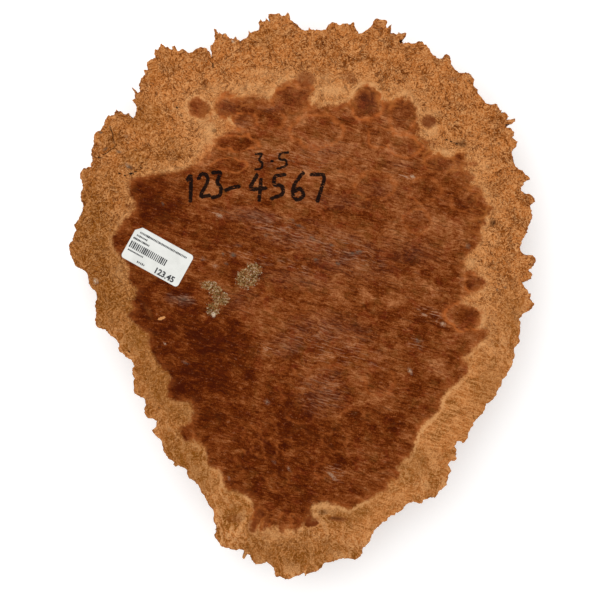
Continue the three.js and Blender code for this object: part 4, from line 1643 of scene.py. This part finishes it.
@dataclass
class EdgeSpines:
    """The fine pointed spines that stand out of the wall between its larger pips."""

    wood: bpy.types.Material
    spacing: float = 4.6 * MM
    shortest: float = 1.6 * MM
    longest: float = 6.5 * MM
    foot: float = 1.15 * MM
    sides: int = 5
    sunk: float = 0.25
    lean: float = 0.45
    least_room: float = 2.0 * MM
    room_share: float = 0.9
    density: float = 60000.0

    def plan(self) -> GeometryPlan:
        """Builds the tree that plants the spines.

        Returns:
            The plan, which takes the painted block.
        """
        plan = GeometryPlan("plant_spines", {
            "Geometry": ("NodeSocketGeometry", None), "Spacing": ("NodeSocketFloat", self.spacing),
            "Shortest": ("NodeSocketFloat", self.shortest), "Longest": ("NodeSocketFloat", self.longest),
            "Foot": ("NodeSocketFloat", self.foot), "Seed": ("NodeSocketInt", SEED),
            "Wood": ("NodeSocketMaterial", self.wood),
        })
        bench = plan.bench
        room = bench.node("GeometryNodeInputNamedAttribute", {"data_type": "FLOAT"}, {"Name": "room"})
        places = bench.node(
            "GeometryNodeDistributePointsOnFaces", {"distribute_method": "POISSON"},
            {"Mesh": plan.given("Geometry"), "Distance Min": plan.given("Spacing"),
             "Density Max": self.density, "Seed": plan.given("Seed"),
             "Selection": room.math("GREATER_THAN", room, self.least_room)}, "Points")
        outwards = Wire(bench, places.socket.node.outputs["Rotation"])
        length = plan.chance("FLOAT", plan.given("Shortest"), plan.given("Longest"), SEED + 5)
        length = length & (self.room_share * room)
        lean = (self.lean, self.lean, math.pi)
        tilt = plan.chance("FLOAT_VECTOR", tuple(-part for part in lean), lean, SEED + 6)
        tilt = bench.node("FunctionNodeEulerToRotation", {}, {0: tilt})
        turn = bench.node("FunctionNodeRotateRotation", {"rotation_space": "LOCAL"}, {0: outwards, 1: tilt})
        foot = plan.given("Foot")
        scale = bench.node("ShaderNodeCombineXYZ", {}, {0: foot, 1: foot, 2: length})
        sockets = {"Points": places, "Instance": self.spine(bench), "Rotation": turn, "Scale": scale}
        plan.finish(bench.node("GeometryNodeInstanceOnPoints", {}, sockets), "Wood")
        return plan

    def spine(self, bench: Bench) -> Wire:
        """Adds one spine of unit size, sunk a little, painted as wall, with painted light growing towards
        its tip.

        Args:
            bench: the tree's bench.

        Returns:
            The spine's mesh.
        """
        cone = bench.node("GeometryNodeMeshCone", {"fill_type": "NGON"},
                          {"Vertices": self.sides, "Radius Top": 0.0, "Radius Bottom": 1.0, "Depth": 1.0})
        sockets = {"Geometry": cone, "Translation": (0, 0, -self.sunk)}
        cone = bench.node("GeometryNodeTransform", {}, sockets)
        spot = bench.node("GeometryNodeInputPosition", {}, {})
        height = bench.node("ShaderNodeSeparateXYZ", {}, {0: spot}, 2)
        kind = {"data_type": "FLOAT", "domain": "POINT"}
        # Painted light: the spine's height is kept as its rise, which turns it paler towards its tip.
        sockets = {"Geometry": cone, "Name": "rise", "Value": 0.35 + 0.7 * height}
        cone = bench.node("GeometryNodeStoreNamedAttribute", kind, sockets)
        sockets = {"Geometry": cone, "Name": "side", "Value": 1.0}
        return bench.node("GeometryNodeStoreNamedAttribute", kind, sockets)

    def build(self, block: bpy.types.Object) -> bpy.types.Object:
        """Plants spines on the wall of the block.

        Args:
            block: the block's object, painted.

        Returns:
            The spines' object.
        """
        return self.plan().run(linked("edge_spines", block.data.copy()))


@dataclass(frozen=True)
class MarkSize:
    """How large a row's marks are: widths in metres and the least height as a share of the row's."""

    narrow: float
    wide: float
    low: float


class RowKind(Enum):
    """What a printed row is made of: tall bars, or the dashes that stand for small print."""

    BARS = MarkSize(0.75 * MM, 1.5 * MM, 1.0)
    DASHES = MarkSize(0.75 * MM, 1.2 * MM, 0.7)


@dataclass(frozen=True)
class PrintRow:
    """A row of printed marks on the sticker, placed from the sticker's middle along its own sides."""

    kind: RowKind
    start: float
    end: float
    up: float
    high: float
    pitch: float
    seed: int


@dataclass
class PaperSticker:
    """The white label with one corner cut off and its generic print: marks, bars and plain figures."""

    grid: FaceGrid
    wide: float = 57.15 * MM
    high: float = 31.75 * MM
    thick: float = 0.15 * MM
    corner: float = 3.0 * MM
    clip: float = 5.0 * MM
    turn: float = -29.0
    middle: Point = (157.4, 256.3)
    step: float = 1.6 * MM
    lift: float = 0.25 * MM
    corner_parts: int = 6
    print_high: float = 0.03 * MM
    figures: str = "123.45"
    figures_size: float = 7.4 * MM
    figures_weight: float = 0.28 * MM
    figures_steps: int = 3
    figures_start: Point = (3.2 * MM, -14.0 * MM)
    rows: tuple[PrintRow, ...] = (
        PrintRow(RowKind.DASHES, -23 * MM, 23 * MM, 11.2 * MM, 2.1 * MM, 1.35 * MM, 1),
        PrintRow(RowKind.DASHES, -24.5 * MM, -14 * MM, 7.8 * MM, 1.9 * MM, 1.35 * MM, 2),
        PrintRow(RowKind.DASHES, -26 * MM, -11 * MM, 4.4 * MM, 1.9 * MM, 1.35 * MM, 3),
        PrintRow(RowKind.BARS, -26 * MM, 9.5 * MM, -1.6 * MM, 6.2 * MM, 1.75 * MM, 4),
        PrintRow(RowKind.DASHES, -25.5 * MM, -11 * MM, -7.0 * MM, 1.5 * MM, 1.3 * MM, 5),
        PrintRow(RowKind.DASHES, -13 * MM, -6 * MM, -12.8 * MM, 2.0 * MM, 1.6 * MM, 6),
    )

    def outline(self) -> np.ndarray:
        """Draws the label's outline round its own middle, its upper left corner cut.

        Returns:
            The outline's points, anticlockwise.
        """
        half_wide, half_high = self.wide / 2, self.high / 2
        points: list[Point] = []
        for number, (side, level) in enumerate(((1, -1), (1, 1), (-1, 1), (-1, -1))):
            if number == 2:
                points.append((-half_wide + self.clip, half_high))
                points.append((-half_wide, half_high - self.clip))
                continue
            middle = (side * (half_wide - self.corner), level * (half_high - self.corner))
            for part in range(self.corner_parts + 1):
                angle = math.radians(90 * (number - 1 + part / self.corner_parts))
                points.append((middle[0] + self.corner * math.cos(angle),
                               middle[1] + self.corner * math.sin(angle)))
        return np.array(points)

    def on_block(self, flat: np.ndarray, rise: np.ndarray | float) -> np.ndarray:
        """Lays points of the label on the block.

        Args:
            flat: places from the label's middle along its own sides.
            rise: the height above the block's face.

        Returns:
            The points in the frame.
        """
        angle = math.radians(self.turn)
        across = np.array([(math.cos(angle), math.sin(angle)), (-math.sin(angle), math.cos(angle))])
        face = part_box(BLOCK)[1].z
        x, y = self.grid.place(self.middle)
        corners = abs(flat) / (self.wide / 2, self.high / 2)
        lifted = self.lift * smooth_step(corners[:, 0] * corners[:, 1], 0.55, 1.0)
        return np.column_stack([flat @ across + (x, y), face + rise + lifted])

    def sheet(self, paper: bpy.types.Material) -> bpy.types.Object:
        """Builds the paper itself.

        Args:
            paper: its finish.

        Returns:
            The sheet's object.
        """
        flat, faces = fill_outline(self.outline(), self.step)
        rim = len(self.outline())
        count = len(flat)
        points = np.concatenate([self.on_block(flat, self.thick), self.on_block(flat, 0.0)])
        sides = [(i, i + count, (i + 1) % rim + count, (i + 1) % rim) for i in range(rim)]
        below = [tuple(i + count for i in reversed(face)) for face in faces]
        return new_object("paper_label", points, faces + below + sides, paper)

    def row_plan(self, ink: bpy.types.Material) -> GeometryPlan:
        """Builds the tree that prints one row of marks.

        Args:
            ink: the print's finish.

        Returns:
            The plan, whose row starts at the origin and runs along X.
        """
        plan = GeometryPlan("print_row", {
            "Geometry": ("NodeSocketGeometry", None), "Count": ("NodeSocketInt", 10),
            "Pitch": ("NodeSocketVector", (MM, 0, 0)), "High": ("NodeSocketFloat", MM),
            "Low": ("NodeSocketFloat", MM), "Narrow": ("NodeSocketFloat", MM),
            "Wide": ("NodeSocketFloat", MM), "Seed": ("NodeSocketInt", SEED),
            "Ink": ("NodeSocketMaterial", ink),
        })
        bench = plan.bench
        places = bench.node("GeometryNodeMeshLine", {"mode": "OFFSET"},
                            {"Count": plan.given("Count"), "Offset": plan.given("Pitch")})
        mark = bench.node("GeometryNodeMeshCube", {}, {"Size": (1, 1, 1)})
        width = plan.chance("FLOAT", plan.given("Narrow"), plan.given("Wide"), plan.given("Seed"))
        height = plan.chance("FLOAT", plan.given("Low"), plan.given("High"), plan.given("Seed") + 7)
        scale = bench.node("ShaderNodeCombineXYZ", {}, {0: width, 1: height, 2: self.print_high})
        sockets = {"Points": places, "Instance": mark, "Scale": scale}
        plan.finish(bench.node("GeometryNodeInstanceOnPoints", {}, sockets), "Ink")
        return plan

    def marks(self, plan: GeometryPlan, row: PrintRow) -> bpy.types.Object:
        """Prints one row.

        Args:
            plan: the tree for rows.
            row: the row.

        Returns:
            The row's object.
        """
        made = new_object("print_row", np.zeros((1, 3)), [], None)
        size = row.kind.value
        plan.run(made, Count=int((row.end - row.start) / row.pitch) + 1, Pitch=(row.pitch, 0, 0),
                 High=row.high, Low=row.high * size.low, Narrow=size.narrow, Wide=size.wide, Seed=row.seed)
        return self.laid(made, (row.start, row.up))

    def plain_figures(self, ink: bpy.types.Material) -> bpy.types.Object:
        """Prints the plain figures.

        Args:
            ink: the print's finish.

        Returns:
            The figures' object.
        """
        text = bpy.data.curves.new("figures", "FONT")
        text.body = self.figures
        text.size = self.figures_size
        text.extrude = self.print_high / 2
        text.offset = self.figures_weight
        text.resolution_u = self.figures_steps
        source = linked("figures", text)
        mesh = bpy.data.meshes.new_from_object(source.evaluated_get(bpy.context.evaluated_depsgraph_get()))
        bpy.data.objects.remove(source)
        mesh.materials.clear()
        mesh.materials.append(ink)
        return self.laid(linked("plain_figures", mesh), self.figures_start)

    def laid(self, made: bpy.types.Object, start: Point) -> bpy.types.Object:
        """Moves a print's mesh from the origin to its start on the label.

        Args:
            made: the print's object.
            start: where its origin goes, from the label's middle along its own sides.

        Returns:
            The same object.
        """
        points = mesh_points(made.data)
        laid = self.on_block(points[:, :2] + start, self.thick + points[:, 2])
        made.data.vertices.foreach_set("co", laid.ravel())
        made.data.update()
        return made

    def build(self, paper: bpy.types.Material, ink: bpy.types.Material) -> list[bpy.types.Object]:
        """Builds the sheet and its print.

        Args:
            paper: the sheet's finish.
            ink: the print's finish.

        Returns:
            The sheet, and then the print as one object.
        """
        plan = self.row_plan(ink)
        prints = [self.marks(plan, row) for row in self.rows] + [self.plain_figures(ink)]
        return [self.sheet(paper), joined("label_print", prints, ink)]


def joined(name: str, parts: Sequence[bpy.types.Object], finish: bpy.types.Material) -> bpy.types.Object:
    """Joins objects into one.

    Args:
        name: the new object's name.
        parts: the objects, which are removed.
        finish: its finish.

    Returns:
        The joined object.
    """
    points: list[np.ndarray] = []
    faces: list[tuple[int, ...]] = []
    start = 0
    for part in parts:
        points.append(mesh_points(part.data))
        faces += [tuple(start + i for i in face.vertices) for face in part.data.polygons]
        start += len(points[-1])
        bpy.data.objects.remove(part)
    return new_object(name, np.concatenate(points), faces, finish)


@dataclass
class StudioView:
    """The floor, the soft light and the camera."""

    grid: FaceGrid
    centre: Point = (300.0, 300.0)
    frame_steps: float = 600.0
    distance: float = 1.5
    sensor: float = 36.0
    floor_radius: float = 5.0
    floor_drop: float = 0.5 * MM
    opening_sides: int = 240
    opening_margin: float = 3 * MM
    side_share: float = 0.125
    sky: float = 0.84
    key_watts: float = 18.0
    key_size: float = 2.2
    key_place: tuple[float, float, float] = (-0.7, 0.9, 1.9)

    def build(self) -> None:
        """Makes the whole view."""
        self.floor()
        self.light()
        self.camera()

    def floor(self) -> None:
        """Lays the floor a hair under the block, open where the block hides it, so its back is lit too."""
        corners = packed_rings(BLOCK)[-1][:, :2]
        sides = np.roll(corners, -1, 0) - corners
        outline = np.concatenate([corners + share * sides for share in np.arange(0, 1, self.side_share)])
        angles, radii = np.arctan2(outline[:, 1], outline[:, 0]), np.hypot(outline[:, 0], outline[:, 1])
        count = self.opening_sides
        ways = np.linspace(-math.pi, math.pi, count, endpoint=False)
        apart = np.abs((angles - ways[:, None] + math.pi) % (2 * math.pi) - math.pi)
        reach = np.where(apart < 2 * math.pi / count, radii, np.inf).min(1) - self.opening_margin
        under = np.full(count, -self.floor_drop)
        rings = [np.column_stack([size * np.cos(ways), size * np.sin(ways), under])
                 for size in (reach, self.floor_radius)]
        faces = [(i, count + i, count + (i + 1) % count, (i + 1) % count) for i in range(count)]
        new_object("studio_floor", np.concatenate(rings), faces, StudioFloor().make())

    def light(self) -> None:
        """Sets an even white surround and one large soft lamp."""
        world = bpy.data.worlds.new("studio")
        bpy.context.scene.world = world
        world.use_nodes = True
        surround = world.node_tree.nodes["Background"]
        Bench(world.node_tree).feed(surround, {"Color": WHITE, "Strength": self.sky})
        lamp = bpy.data.lights.new("key", "AREA")
        lamp.energy = self.key_watts
        lamp.size = self.key_size
        made = linked("key", lamp)
        made.location = self.key_place
        made.rotation_euler = (-Vector(self.key_place)).to_track_quat("-Z", "Y").to_euler()

    def camera(self) -> None:
        """Looks straight down on the front face, with the grid's own framing."""
        _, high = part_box(BLOCK)
        eye = bpy.data.cameras.new("camera")
        eye.sensor_width = self.sensor
        eye.lens = self.sensor * self.distance / (self.frame_steps * self.grid.step)
        made = linked("camera", eye)
        made.location = (*self.grid.place(self.centre), high.z + self.distance)
        bpy.context.scene.camera = made


def register(made: bpy.types.Object, slot: str, *nodes: str) -> None:
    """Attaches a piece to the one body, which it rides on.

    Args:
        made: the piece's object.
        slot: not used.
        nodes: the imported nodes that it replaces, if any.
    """
    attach(made, "root")
    if nodes:
        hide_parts(*nodes)
    LOG.info("%s: %d faces", made.name, len(made.data.polygons))


def main() -> None:
    """Builds the view, the block and the sticker in order."""
    logging.basicConfig(level=logging.INFO, format="%(name)s: %(message)s")
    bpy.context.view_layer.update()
    grid = FaceGrid()
    bpy.context.scene.view_settings.view_transform = "Standard"
    StudioView(grid).build()
    wood = BurlWood().make()
    block = BurlBlock(Figure(grid), wood).build()
    spines = EdgeSpines(wood).build(block)
    label, label_print = PaperSticker(grid).build(LabelPaper().make(), PrintInk().make())
    register(block, "burl_wood", BLOCK)
    register(spines, "burl_wood")
    register(label, "sticker_paper", STICKER)
    register(label_print, "sticker_paper")


if __name__ == "__main__":
    main()
